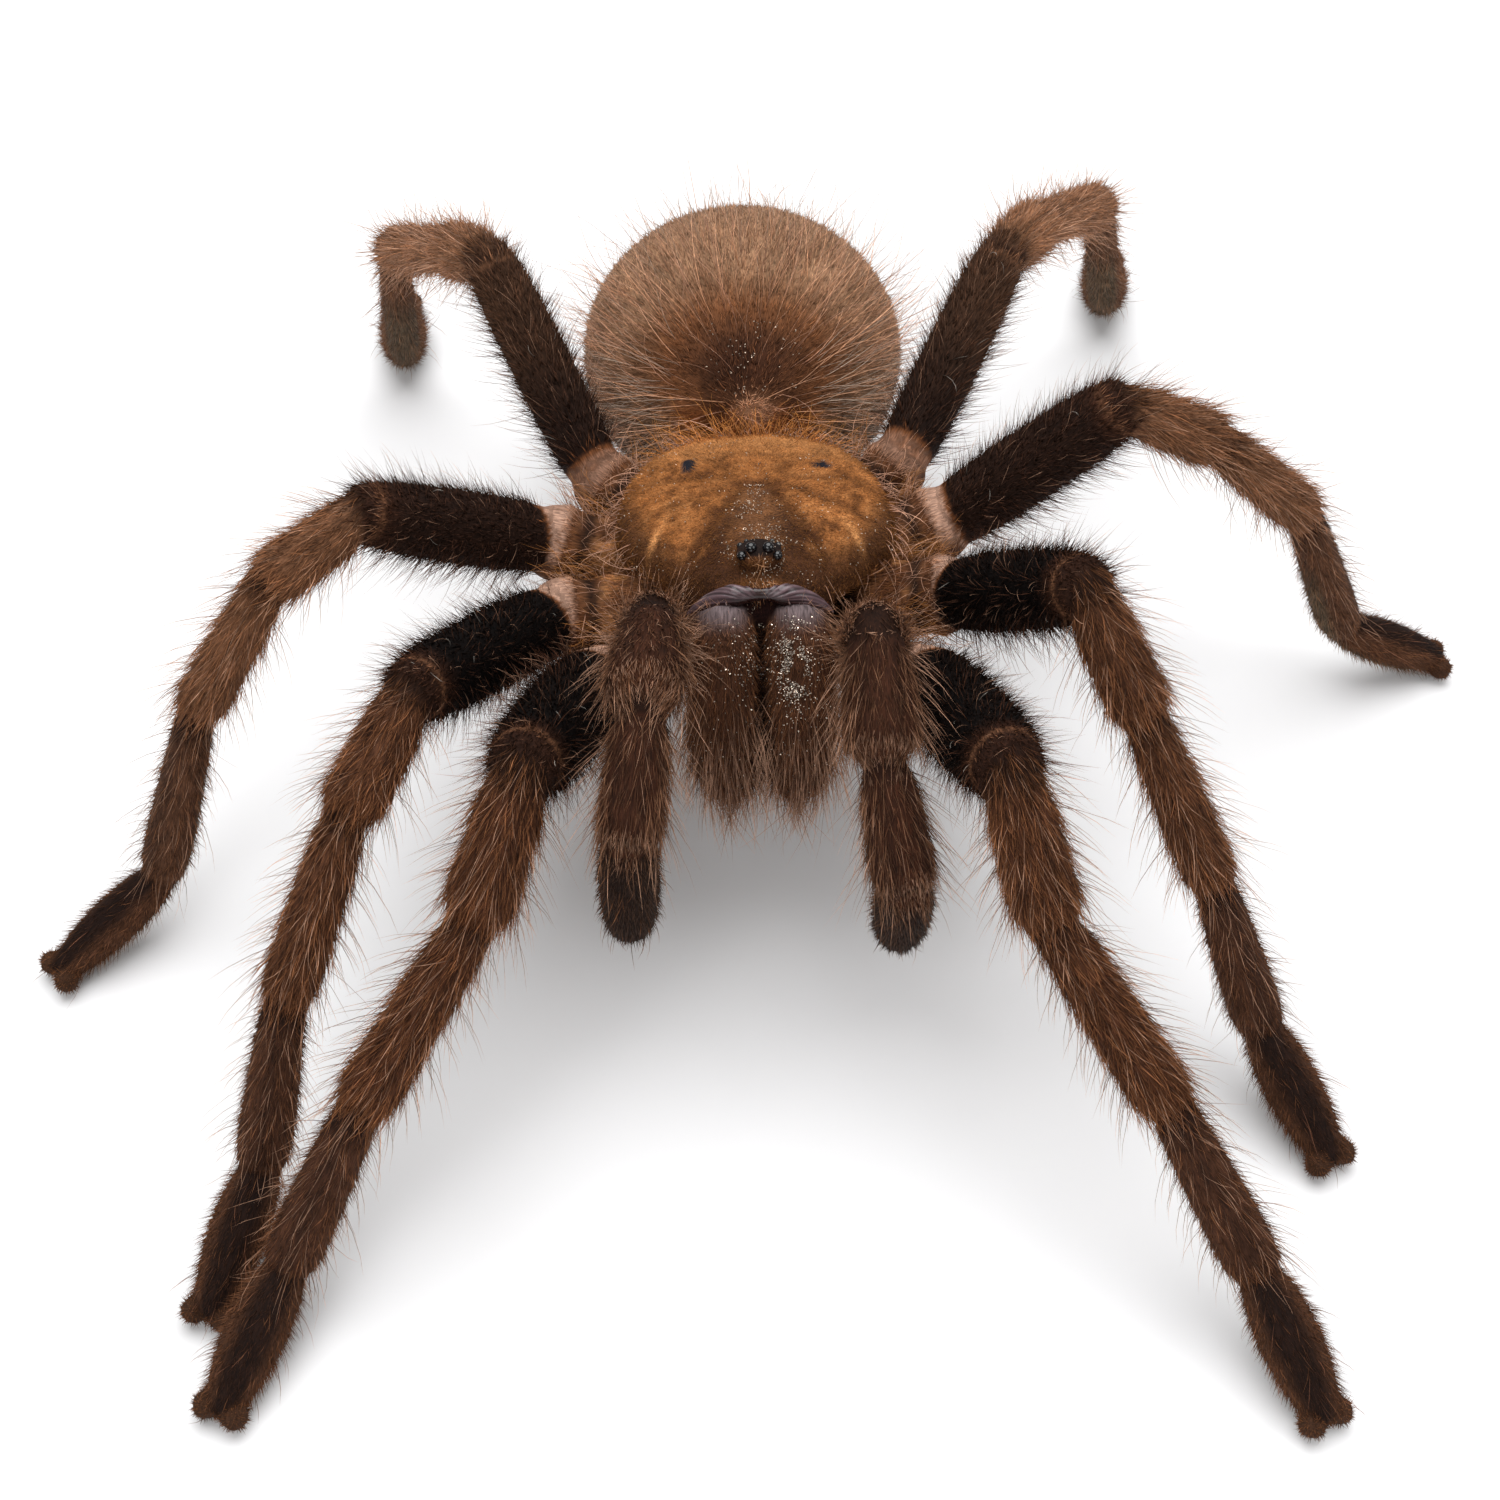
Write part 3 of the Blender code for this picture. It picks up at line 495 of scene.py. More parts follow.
def spinneret_rods():
    rods = []
    across, along, up = SPINNERET_ROOT
    for _, sign in SIDES:
        root = from_abdomen((sign * across, ABDOMEN_SIZE[1] / 2 * along, up))
        aim = unit(np.array([sign * SPINNERET_AIM[0], *SPINNERET_AIM[1:]]))
        end = root + aim * SPINNERET_LENGTH
        rods.append(Rod("abdomen", "spinneret", root - aim, end, SPINNERET_RADIUS + 0.1))
    return rods


def tufts():
    """Each foot's name and the middles of its two pads of hair."""
    found = []
    for name, rods in LIMBS.items():
        tarsus = rods[-1]
        across = unit(np.cross(tarsus.aim, UP))
        for sign in (-1, 1) if name.startswith("leg") else ():
            found.append((name, tarsus.end + across * TUFT_SPREAD * sign - tarsus.aim * TUFT_INSET))
    return found


def wrap_skin():
    """One smooth closed mesh round every part of flesh, as vertex and quad arrays."""
    cage = Cage()
    cage.add_surface(carapace_surface)
    cage.add_surface(abdomen_surface)
    cage.add_surface(egg_surface(from_body(STERNUM_PLACE), STERNUM_SIZE, BODY_TURN))
    mound = np.array(TUBERCLE_SIZE) * (0.98, 0.98, 0.9)
    cage.add_surface(egg_surface(from_body(tubercle_base()), mound, BODY_TURN), 24, 16)
    for rods in LIMBS.values():
        for rod in rods:
            cage.add_rod(rod)
    for _, centre in tufts():
        cage.add_surface(egg_surface(centre, (TUFT_SIZE,) * 3, np.eye(3)), 20, 12)
    for _, sign in SIDES:
        cage.add_path(*chelicera_points(sign), 24)
    for rod in spinneret_rods():
        cage.add_rod(rod, 14)
    hind, front = pedicel_ends()
    cage.add_rod(Rod("body", "pedicel", hind - (0, 1.5, 0), front + (0, 1.5, 0), PEDICEL_RADIUS))
    obj = cage.make_object("cage")
    remesh = obj.modifiers.new("remesh", "REMESH")
    remesh.mode = "VOXEL"
    remesh.voxel_size = SKIN_VOXEL
    graph = bpy.context.evaluated_depsgraph_get()
    mesh = bpy.data.meshes.new_from_object(obj.evaluated_get(graph))
    bpy.data.objects.remove(obj)
    places = np.empty(len(mesh.vertices) * 3)
    mesh.vertices.foreach_get("co", places)
    quads = np.empty(len(mesh.loops), np.int64)
    mesh.loops.foreach_get("vertex_index", quads)
    bpy.data.meshes.remove(mesh)
    return places.reshape(-1, 3), quads.reshape(-1, 4)


def relax(places, quads, rounds):
    """Evens out the steps that the wrapping leaves, with no loss of volume worth noting."""
    pairs = np.concatenate([quads[:, [i, (i + 1) % 4]] for i in range(4)])
    starts, ends = pairs.T
    count = np.bincount(starts, minlength=len(places))
    for step in (0.55, -0.5) * rounds:
        total = [np.bincount(starts, places[ends, i], len(places)) for i in range(3)]
        places = places + (np.stack(total, 1) / count[:, None] - places) * step
    return places


def vertex_normals(places, quads):
    a, b, c, d = (places[quads[:, i]] for i in range(4))
    across = np.cross(c - a, d - b)
    normals = np.zeros_like(places)
    for i in range(4):
        for axis in range(3):
            normals[:, axis] += np.bincount(quads[:, i], across[:, axis], len(places))
    return unit(normals)


# Hollows of the shield, in the carapace's own frame: start, end, half width and depth
FOVEA = (0.0, 1.0)
SHIELD_GROOVES = (
    ((0.9, 0.5), (4.6, -7.2), 0.42, 0.3),
    ((1.5, 1.0), (7.4, -2.2), 0.5, 0.16),
    ((1.6, 1.7), (7.6, 2.6), 0.5, 0.16),
    ((1.2, 2.4), (4.9, 6.6), 0.5, 0.14),
)


def groove_depth(x, y):
    """How deep the shield is hollowed at a point of its plan."""
    depth = 0.5 * bell(x, FOVEA[0], 1.0) * bell(y, FOVEA[1], 0.42)
    for (x0, y0), (x1, y1), width, deep in SHIELD_GROOVES:
        run = np.array([x1 - x0, y1 - y0])
        length = np.linalg.norm(run)
        share = ((np.abs(x) - x0) * run[0] + (y - y0) * run[1]) / length**2
        off = ((np.abs(x) - x0) * -run[1] + (y - y0) * run[0]) / length
        depth = depth + deep * bell(off, 0, width) * (smooth(share, -0.15, 0.1) * fade(share, 0.8, 1.1))
    return depth


def on_shield(points):
    """How surely a point lies on top of the carapace, 0 to 1."""
    x, y, z = to_body(points).T
    along = y / CARAPACE_LENGTH * 2
    wide = shield_width(np.clip(along, -1, 1)) * np.sqrt(np.clip(1 - along * along, 0.001, 1))
    inside = fade(np.abs(x) / np.maximum(wide, 0.1), 0.97, 1.05) * fade(np.abs(along), 0.99, 1.02)
    return inside * smooth(z, -0.2, 0.6)


def shape_skin():
    """The skin's final points, quads and normals."""
    places, quads = wrap_skin()
    places = relax(places, quads, SKIN_SMOOTHING)
    normals = vertex_normals(places, quads)
    x, y, _ = to_body(places).T
    hollow = groove_depth(x, y) * on_shield(places)
    pile = (clouds(places, 1.6, 21) * 0.04 + clouds(places, 0.7, 22) * 0.025) * on_shield(places)
    places = places - normals * (hollow - pile)[:, None]
    places[:, 2] = np.maximum(places[:, 2], FLOOR_CLEARANCE)
    return places, quads, vertex_normals(places, quads)


def make_zones():
    """Every part of flesh, so that a point of the skin can be told which it is on."""
    zones = [rod for rods in LIMBS.values() for rod in rods]
    pad = (TUFT_SIZE + 2 * SKIN_DEPTH,) * 3
    zones += [Egg(name, "tuft", centre, pad, np.eye(3)) for name, centre in tufts()]
    zones += chelicera_rods() + spinneret_rods()
    shield = (CARAPACE_WIDTH, CARAPACE_LENGTH, 2 * CARAPACE_HEIGHT)
    return zones + [
        Egg("abdomen", "abdomen", ABDOMEN_CENTRE, ABDOMEN_SIZE, ABDOMEN_TURN),
        Egg("body", "sternum", from_body(STERNUM_PLACE), STERNUM_SIZE, BODY_TURN),
        Egg("carapace", "carapace", from_body((0, 0, 0)), shield, BODY_TURN),
    ]


ZONES = make_zones()
# A point belongs to the carapace where it is this surely on the shield, and elsewhere only if
# it is this much nearer to it than to any other part
SHIELD_SURE = 0.3
SHIELD_GAP = 0.4


def locate(points):
    """For each point: its zone's number, share of the length, and turn round it."""
    best = np.full(len(points), np.inf)
    zone = np.zeros(len(points), int)
    share = np.zeros(len(points))
    turn = np.zeros(len(points))
    for number, part in enumerate(ZONES):
        along, round_it, gap = part.locate(points)
        gap = np.abs(gap)
        if part.kind == "carapace":
            gap = np.where(on_shield(points) > SHIELD_SURE, -1.0, gap + SHIELD_GAP)
        nearer = gap < best
        for kept, new in ((zone, number), (best, gap), (share, along), (turn, round_it)):
            kept[nearer] = new[nearer] if np.ndim(new) else new
    return zone, share, turn


CLOUD_SIDE = 24
CLOUD_TURN = np.linalg.qr(np.random.default_rng(3).normal(size=(3, 3)))[0]


def clouds(points, scale, seed):
    """Soft blotches between about -1 and 1, as wide as the scale and half of it."""
    table = np.random.default_rng(seed).uniform(-1, 1, (CLOUD_SIDE,) * 3)
    total = np.zeros(len(points))
    for size, weight in ((scale, 1.0), (scale * 0.47, 0.6)):
        cell = points @ CLOUD_TURN / size + 200
        low = np.floor(cell).astype(int)
        part = cell - low
        part = part * part * (3 - 2 * part)
        for corner in range(8):
            step = np.array([corner >> axis & 1 for axis in range(3)])
            share = np.prod(np.where(step, part, 1 - part), axis=1)
            i, j, k = ((low + step) % CLOUD_SIDE).T
            total += table[i, j, k] * share * weight
    return total * 1.5


def blend(base, over, share):
    share = np.clip(share, 0, 1)
    if np.ndim(share):
        share = share[:, None]
    return base + (over - base) * share


def paint(base, *coats):
    """A base with one colour after another laid over it, each by its share."""
    for over, share in coats:
        base = blend(base, over, share)
    return base


# Colours as the eye reads them, in sRGB
BLACK_BROWN = linear(8, 3, 2)
FEMUR_BROWN = linear(66, 38, 24)
FEMUR_THIRD = linear(40, 23, 15)
FEMUR_HIND = linear(36, 21, 14)
DARK_BROWN = linear(50, 29, 19)
LEG_BROWN = linear(74, 42, 26)
LEG_TAN = linear(158, 114, 84)
TAN_RING = linear(118, 72, 42)
FOOT_BROWN = linear(72, 45, 31)
FOOT_DARK = linear(34, 19, 13)
FOOT_EDGE = linear(86, 56, 39)
SCOPULA = linear(90, 76, 60)
TUFT_BROWN = linear(72, 47, 32)
MEMBRANE_PINK = linear(192, 152, 130)
CREST_TAN = linear(178, 124, 78)
HOOF_RIM = linear(138, 100, 72)
FEMUR_OLIVE = linear(82, 56, 39)
FEMUR_RIM = linear(142, 98, 70)
TUFT_GOLD = linear(206, 138, 70)
SILHOUETTE = linear(152, 112, 92)
COXA_TAN = linear(116, 75, 48)
PALP_BROWN = linear(64, 36, 23)
HOOF_BROWN = linear(42, 27, 19)
ABDOMEN_TAN = linear(170, 132, 102)
ABDOMEN_BROWN = linear(118, 73, 43)
ABDOMEN_DARK = linear(52, 28, 17)
ABDOMEN_LOW = linear(44, 32, 25)
ABDOMEN_RUST = linear(150, 84, 40)
CARAPACE_GOLD = linear(168, 107, 58)
CARAPACE_LIGHT = linear(222, 157, 98)
CARAPACE_BROWN = linear(84, 48, 26)
CARAPACE_EDGE = linear(78, 48, 30)
WEDGE_GREY = linear(122, 86, 62)
EYE_MOUND = linear(38, 28, 25)
BALD_BLUE = linear(34, 34, 42)
STERNUM_BROWN = linear(46, 30, 22)
CHELICERA_BROWN = linear(78, 48, 32)
# Lighter and greyer on the bald upper edges: partly the bare cuticle's own grey, partly painted sheen
CHELICERA_BALD_SHEEN = linear(120, 106, 108)
TIP_TAN = linear(196, 131, 87)
TIP_PINK = linear(220, 172, 142)
TIP_ORANGE = linear(214, 130, 60)
TIP_BROWN = linear(120, 76, 52)
TIP_RED = linear(176, 116, 86)
TIP_GREY = linear(196, 176, 158)
TIP_GOLD = linear(190, 128, 66)
LIP_GREY = linear(88, 70, 74)
# Maroon of the painted shade under the lip and in its middle cleft
LIP_SHADE_MAROON = linear(40, 18, 15)
DUST = linear(236, 228, 216)
DUST_DIM = linear(176, 160, 144)
STRAND_TAN = linear(166, 120, 88)
STRAND_GREY = linear(150, 130, 114)
TIP_DULL = linear(178, 130, 98)
# How far the brown of each pair of legs is towards tan, with 0 for the palps
LEG_PALENESS = {0: 0.0, 1: 0.05, 2: 0.12, 3: 0.5, 4: 1.0}

# Marks on the shield, in the carapace's own frame
BALD_SPOTS = ((-4.1, 3.75, 0.42, 0.85), (4.26, 3.6, 0.7, 0.52))
STREAKS = ((-6.05, -3.6, -0.42), (5.8, -3.7, 0.42))
STREAK_SIZE = (0.21, 0.85)
# The mottling of the shield: width and seed of each layer of clouds, and its weight
SHIELD_CLOUDS = ((1.5, 5, 0.5), (0.6, 6, 0.45), (0.36, 7, 0.8))
# The dark patch on the face of the abdomen: its height in degrees up from the front pole,
# its half width and half height in degrees, and the point its long hairs spread from
PATCH_RISE = 37.0
PATCH_HALF = (46.0, 33.0)
SPREAD_RISE = 20.0


class Spots:
    """Points of the skin and where they lie on their part, on the body and on the abdomen.

    leg is 1 to 4 where all of them are on a leg, and else 0.
    """

    def __init__(self, share, turn, points, kind="", leg=0):
        self.kind = kind
        self.leg = leg
        self.share = share
        self.turn = turn
        self.points = points
        self.top = np.cos(turn)
        self.around = np.abs(turn)
        self.local = to_body(points)
        self.x, self.y, self.z = self.local.T
        self.ahead = -self.y
        self.rear = to_abdomen(points)
        ball = unit(self.rear / (np.array(ABDOMEN_SIZE) / 2))
        self.across = np.degrees(np.arcsin(np.clip(ball[:, 0], -1, 1)))
        self.rise = np.degrees(np.arctan2(ball[:, 2], -ball[:, 1]))
        # 0 in the middle of the dark patch and 1 at its edge
        self.patch = np.hypot(self.across / PATCH_HALF[0], (self.rise - PATCH_RISE) / PATCH_HALF[1])


def femur_edge(at):
    """Where along a femur its dark fur starts: further out on the upper face."""
    return 0.078 + 0.042 * at.top


def specks(at):
    return smooth(clouds(at.points, 0.3, 18), 0.0, 0.8)


def limb_brown(at):
    return blend(LEG_BROWN if at.leg else PALP_BROWN, LEG_TAN, LEG_PALENESS[at.leg])


def femur_colour(at):
    if at.leg == 4:
        lighter = FEMUR_OLIVE, smooth(at.share, 0.2, 0.85) * (0.55 + 0.35 * smooth(at.around, 0.5, 1.5))
    else:
        lighter = FEMUR_BROWN, smooth(at.share, 0.86, 0.96) * 0.6
    inner = at.share - femur_edge(at)
    lit = smooth(at.points[:, 2], 14.6, 16.0) * (1 - 0.35 * specks(at)) * (0.3 if at.leg == 4 else 1.0)
    return paint(
        {3: FEMUR_THIRD, 4: FEMUR_HIND}.get(at.leg, BLACK_BROWN),
        (FEMUR_BROWN, smooth(-at.top, -0.1, 0.9) * 0.35),
        lighter,
        (FEMUR_RIM, bell(at.share, 0.968, 0.009) * 0.7),
        (DARK_BROWN, smooth(at.share, 0.98, 1.0) * 0.8),
        (TAN_RING, fade(inner, -0.005, 0.01)),
        (MEMBRANE_PINK, fade(inner, -0.025, -0.012) * lit),
    )


def sleeve_colour(at):
    """The knees and shins, with two dark stripes along their upper face."""
    stripe = bell(at.around, 0.5, 0.11) * smooth(at.share, 0.1, 0.25) * fade(at.share, 0.75, 0.95)
    rim, rim_share = (HOOF_RIM, 0.8) if at.kind == "palp_tibia" else (TAN_RING, 0.3)
    slit = 1.0 if at.kind == "patella" and at.leg > 2 else 0.0
    return paint(
        limb_brown(at),
        (DARK_BROWN * 0.5, fade(at.share, 0.04, 0.2 if at.leg else 0.26) * 0.85),
        (DARK_BROWN * 0.8, stripe * 0.6),
        (rim, bell(at.share, 0.975, 0.03) * rim_share),
        (BLACK_BROWN, bell(at.share, 0.86, 0.05) * bell(at.turn, 0, 0.12) * slit),
    )


def metatarsus_colour(at):
    return paint(
        FOOT_BROWN,
        (limb_brown(at), 0.3),
        (FOOT_DARK, fade(at.share, 0.02, 0.22)),
        (FOOT_DARK, bell(at.turn, 0, 0.4) * 0.5),
        (FOOT_EDGE, smooth(at.around, 0.7, 1.4) * smooth(at.share, 0.15, 0.5) * 0.6),
        (SCOPULA, smooth(-at.top, 0.1, 0.55) * smooth(at.share, 0.25, 0.6)),
    )


def tarsus_colour(at):
    edge = (FOOT_EDGE, smooth(at.around, 0.35, 1.1))
    return paint(FOOT_DARK, edge, (SCOPULA, smooth(-at.top, 0.2, 0.7)))


def coxa_colour(at):
    patchy = clouds(at.points, 1.1, 17)
    # Painted shade: darker where the coxa leaves the body and in its waist further out
    hollow = fade(at.share, 0.3, 0.46) + bell(at.share, 0.775, 0.05)
    lit = smooth(at.share, 0.89, 0.92) * smooth(at.top, -0.05, 0.45) * (0.35 if at.leg == 4 else 1.0)
    return paint(
        COXA_TAN,
        (CREST_TAN, smooth(patchy, -0.2, 0.8) * bell(at.share, 0.6, 0.1)),
        (CARAPACE_BROWN, smooth(-patchy, 0.0, 0.8) * 0.8),
        (DARK_BROWN * 0.4, np.clip(hollow, 0, 1) * 0.92),
        (CARAPACE_BROWN, smooth(at.share, 0.84, 0.88) * 0.7),
        (MEMBRANE_PINK, lit * (1 - 0.3 * specks(at))),
    )


def wedge(at):
    """The darker middle of the shield, from the fovea out to the eyes."""
    width = 0.9 + 4.2 * smooth(at.ahead, -1.5, 8.0)
    return fade(np.abs(at.x) / width, 0.55, 1.05) * smooth(at.ahead, -1.8, 0.3)


def bald_spots(at):
    gaps = [np.hypot((at.x - x) / a, (at.y - y) / b) for x, y, a, b in BALD_SPOTS]
    return fade(np.min(gaps, axis=0) + clouds(at.local, 0.5, 14) * 0.25, 0.8, 1.2)


def light_streaks(at):
    total = np.zeros(len(at.x))
    for x, y, lean in STREAKS:
        c, s = math.cos(lean), math.sin(lean)
        off = (at.x - x) * c + (at.y - y) * s
        run = (at.y - y) * c - (at.x - x) * s
        total = total + bell(off, 0, STREAK_SIZE[0]) * bell(run, 0, STREAK_SIZE[1])
    return total


def on_mound(at):
    """1 on the knob that carries the eyes and 0 away from it."""
    gap = (at.local - tubercle_base() - (0, 0, 0.5)) / (1.4, 0.9, 0.55)
    return fade(np.linalg.norm(gap, axis=1), 0.85, 1.15)


def under_lip(at):
    """1 on the front of the body below the lip, between the roots of the chelicerae."""
    return smooth(at.ahead, 8.6, 9.2) * fade(at.z, 1.7, 2.1) * fade(np.abs(at.x), 4.0, 5.0)


def carapace_colour(at):
    clumps = sum(clouds(at.points, *cloud) * weight for *cloud, weight in SHIELD_CLOUDS)
    hollow = groove_depth(at.x, at.y)
    ahead = smooth(at.ahead, 6.2, 7.8) * (1 - 0.9 * smooth(at.ahead, 8.4, 9.2))
    # The darker rim is partly the shield's own dark border and partly painted shade where the shield
    # slopes away from the light
    margin = np.hypot(at.x / 8.7, at.y / 10.3) + 0.12 * smooth(at.ahead, -2.0, 5.0)
    margin = smooth(margin - smooth(at.y, 0.0, 5.0) * 0.14, 0.78, 0.98)
    return paint(
        CARAPACE_GOLD,
        (CARAPACE_BROWN, smooth(clumps, 0.0, 1.1) * 0.65),
        (CARAPACE_LIGHT, smooth(-clumps, 0.3, 1.2) * 0.3),
        (CARAPACE_BROWN * 0.62, wedge(at) * (1 - 0.45 * bell(at.x, 0, 1.3)) + clumps * 0.15),
        (WEDGE_GREY, wedge(at) * bell(at.x, 0, 1.5) * 0.55),
        # Painted shade: darker in the fovea and the grooves, by their depth
        (CARAPACE_BROWN * 0.7, np.clip(hollow * 3.0, 0, 0.75)),
        (CARAPACE_LIGHT, smooth(at.y, 3.0, 8.0) * 0.55),
        (CARAPACE_BROWN, ahead * 0.6),
        (CARAPACE_GOLD, smooth(at.ahead, 8.4, 9.2) * 0.6),
        (CARAPACE_EDGE, margin * 0.9 * (1 - 0.8 * smooth(at.ahead, 8.3, 9.1))),
        (TIP_ORANGE, smooth(at.y, 6.8, 9.5) * 0.4),
        (CARAPACE_LIGHT * 1.15, light_streaks(at)),
        (BALD_BLUE, bald_spots(at)),
        # Painted shade: maroon under the lip, between the roots of the chelicerae
        (LIP_SHADE_MAROON, under_lip(at)),
        (EYE_MOUND, on_mound(at)),
    )


def pale_tuft(at):
    return np.clip(bell(at.across, 3.0, 5.0) * bell(at.rise, 19.0, 4.5) * 1.5, 0, 1)


def abdomen_colour(at):
    rust = fade(at.rise, 14.0, 24.0) * fade(np.abs(at.across), 18.0, 30.0)
    beside = bell(np.abs(at.across - 3.0), 13.0, 5.0) * bell(at.rise, 19.0, 7.0)
    speckle = clouds(at.points, 0.6, 11) * 0.12 + clouds(at.points, 3.0, 9) * 0.1
    base = paint(
        ABDOMEN_TAN,
        # Darker low down: partly the abdomen's own darker underside, partly painted shade on the sides
        # that turn away from the light
        (ABDOMEN_LOW, smooth(-at.rear[:, 2], -4.0, 3.5) * 0.85),
        (ABDOMEN_BROWN, fade(at.patch, 0.6, 1.35) * 0.95),
        (ABDOMEN_DARK, fade(at.patch, 0.15, 0.8) * 0.9),
        (ABDOMEN_RUST, rust * smooth(-at.rear[:, 1], 8.0, 10.0) * 0.85),
        (ABDOMEN_DARK, beside * 0.8),
        (TIP_DULL, pale_tuft(at) * 0.9),
    )
    return base * (1 + speckle)[:, None]


def bald_top(at):
    """The smooth grey upper edge of a chelicera, under the face membrane."""
    return smooth(at.z, 0.6, 1.9) * smooth(at.y, -12.8, -11.0)


def chelicera_colour(at):
    # Painted shade: near black on the inner faces, in the gap between the chelicerae. The grey of the
    # bald upper edge is partly painted sheen.
    return paint(CHELICERA_BROWN, (BLACK_BROWN, inner_face_shade(at) * 0.9), (CHELICERA_BALD_SHEEN, bald_top(at)))


PART_COLOURS = {
    "carapace": carapace_colour,
    "abdomen": abdomen_colour,
    "chelicera": chelicera_colour,
    "sternum": lambda at: STERNUM_BROWN,
    "spinneret": lambda at: ABDOMEN_BROWN,
    "tuft": lambda at: TUFT_BROWN,
    "hoof": lambda at: blend(HOOF_BROWN, FOOT_DARK, bell(at.turn, 0, 0.6) * 0.6),
    "femur": femur_colour,
    "metatarsus": metatarsus_colour,
    "tarsus": tarsus_colour,
    "coxa": coxa_colour,
}


def by_part(zone):
    """Each part of flesh that has points, with their numbers."""
    for number, part in enumerate(ZONES):
        here = np.flatnonzero(zone == number)
        if len(here):
            yield part, here


def colour_at(zone, share, turn, points):
    """The animal's own colour at each point, the same for skin and coat."""
    colours = np.zeros((len(points), 3))
    for part, here in by_part(zone):
        leg = int(part.limb[3]) if part.limb.startswith("leg") else 0
        at = Spots(share[here], turn[here], points[here], part.kind, leg)
        colours[here] = PART_COLOURS.get(part.kind, sleeve_colour)(at)
    return colours


def set_inputs(node, values):
    for name, value in values.items():
        node.inputs[name].default_value = value


def attribute_node(nodes, name):
    node = nodes.new("ShaderNodeAttribute")
    node.attribute_name = name
    return node


def material(name, colour, settings, tones=(), relief=None):
    """A finish: its colour, one shade or an attribute's name, is made uneven by layers of noise.

    The settings are inputs of the shader. Each tone is a noise's scale and detail, the attribute
    that it is read along or None for the object's own space, and the least and greatest factor on
    the colour. relief is the strength and depth of the bumps that the first noise makes.
    """
    made = bpy.data.materials.new(name)
    made.use_nodes = True
    nodes = made.node_tree.nodes
    link = made.node_tree.links.new
    shader = nodes["Principled BSDF"]
    if isinstance(colour, str):
        shade = attribute_node(nodes, colour).outputs["Color"]
    else:
        shade = nodes.new("ShaderNodeRGB").outputs[0]
        shade.default_value = (*colour, 1)
    for index, (scale, detail, along, low, high) in enumerate(tones):
        if along:
            place = attribute_node(nodes, along).outputs["Vector"]
        else:
            place = nodes.new("ShaderNodeTexCoord").outputs["Object"]
        noise = nodes.new("ShaderNodeTexNoise")
        set_inputs(noise, {"Scale": scale, "Detail": detail, "Roughness": 0.6})
        link(place, noise.inputs["Vector"])
        spread = nodes.new("ShaderNodeMapRange")
        set_inputs(spread, {"From Min": 0.3, "From Max": 0.7, "To Min": low, "To Max": high})
        link(noise.outputs["Fac"], spread.inputs["Value"])
        scaled = nodes.new("ShaderNodeVectorMath")
        scaled.operation = "SCALE"
        link(shade, scaled.inputs[0])
        link(spread.outputs["Result"], scaled.inputs["Scale"])
        shade = scaled.outputs["Vector"]
        if relief and index == 0:
            bump = nodes.new("ShaderNodeBump")
            set_inputs(bump, {"Strength": relief[0], "Distance": relief[1]})
            link(noise.outputs["Fac"], bump.inputs["Height"])
            link(bump.outputs["Normal"], shader.inputs["Normal"])
    link(shade, shader.inputs["Base Color"])
    set_inputs(shader, settings)
    return made


def mesh_object(name, places, faces, finish):
    """A piece from arrays in millimetres, where faces is one row of corners for each face."""
    mesh = bpy.data.meshes.new(name)
    mesh.vertices.add(len(places))
    mesh.vertices.foreach_set("co", to_frame(places).astype(np.float32).ravel())
    mesh.loops.add(faces.size)
    mesh.loops.foreach_set("vertex_index", faces.astype(np.int32).ravel())
    mesh.polygons.add(len(faces))
    starts = np.arange(0, faces.size, faces.shape[1], dtype=np.int32)
    mesh.polygons.foreach_set("loop_start", starts)
    mesh.update(calc_edges=True)
    mesh.validate()
    mesh.shade_smooth()
    mesh.materials.append(finish)
    obj = add_object(name, mesh)
    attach(obj, "root")
    return obj


def store_vector(obj, name, vectors):
    layer = obj.data.attributes.new(name, "FLOAT_VECTOR", "POINT")
    layer.data.foreach_set("vector", np.asarray(vectors, np.float32).ravel())


def store_colour(obj, name, colours):
    layer = obj.data.color_attributes.new(name, "FLOAT_COLOR", "POINT")
    rows = np.ones((len(colours), 4), np.float32)
    rows[:, :3] = colours
    layer.data.foreach_set("color", rows.ravel())


class Skin:
    """The wrapped skin with what the coat needs to grow on it."""

    def __init__(self):
        self.places, self.quads, self.normals = shape_skin()
        self.tris = np.concatenate([self.quads[:, [0, 1, 2]], self.quads[:, [0, 2, 3]]])
        a, b, c = (self.places[self.tris[:, i]] for i in range(3))
        self.areas = np.linalg.norm(np.cross(b - a, c - a), axis=1) / 2
        self.zone, self.share, self.turn = locate((a + b + c) / 3)

    def make_object(self):
        finish = material(
            "soft_skin",
            "markings",
            {"Roughness": 0.8, "Specular IOR Level": 0.12},
            ((9, 3.0, "flow", 0.4, 1.5), (900, 2.0, None, 0.8, 1.2)),
            (0.7, 0.00012),
        )
        obj = mesh_object("skin", self.places, self.quads, finish)
        zone, share, turn = locate(self.places)
        store_colour(obj, "markings", colour_at(zone, share, turn, self.places) * SKIN_TONE)
        store_vector(obj, "flow", flow_at(zone, self.places))
        return obj

    def roots(self, density, draw):
        """Points spread over the skin with so many to the square millimetre of each triangle."""
        weight = np.cumsum(self.areas * density)
        count = int(weight[-1])
        marks = (np.arange(count) + draw.random(count)) / count * weight[-1]
        chosen = np.minimum(np.searchsorted(weight, marks), len(weight) - 1)
        first = np.sqrt(draw.random(count))[:, None]
        second = draw.random(count)[:, None]
        shares = (1 - first, first * (1 - second), first * second)
        corners = self.tris[chosen]
        points = sum(self.places[corners[:, i]] * shares[i] for i in range(3))
        normals = unit(sum(self.normals[corners[:, i]] * shares[i] for i in range(3)))
        return points, normals, chosen


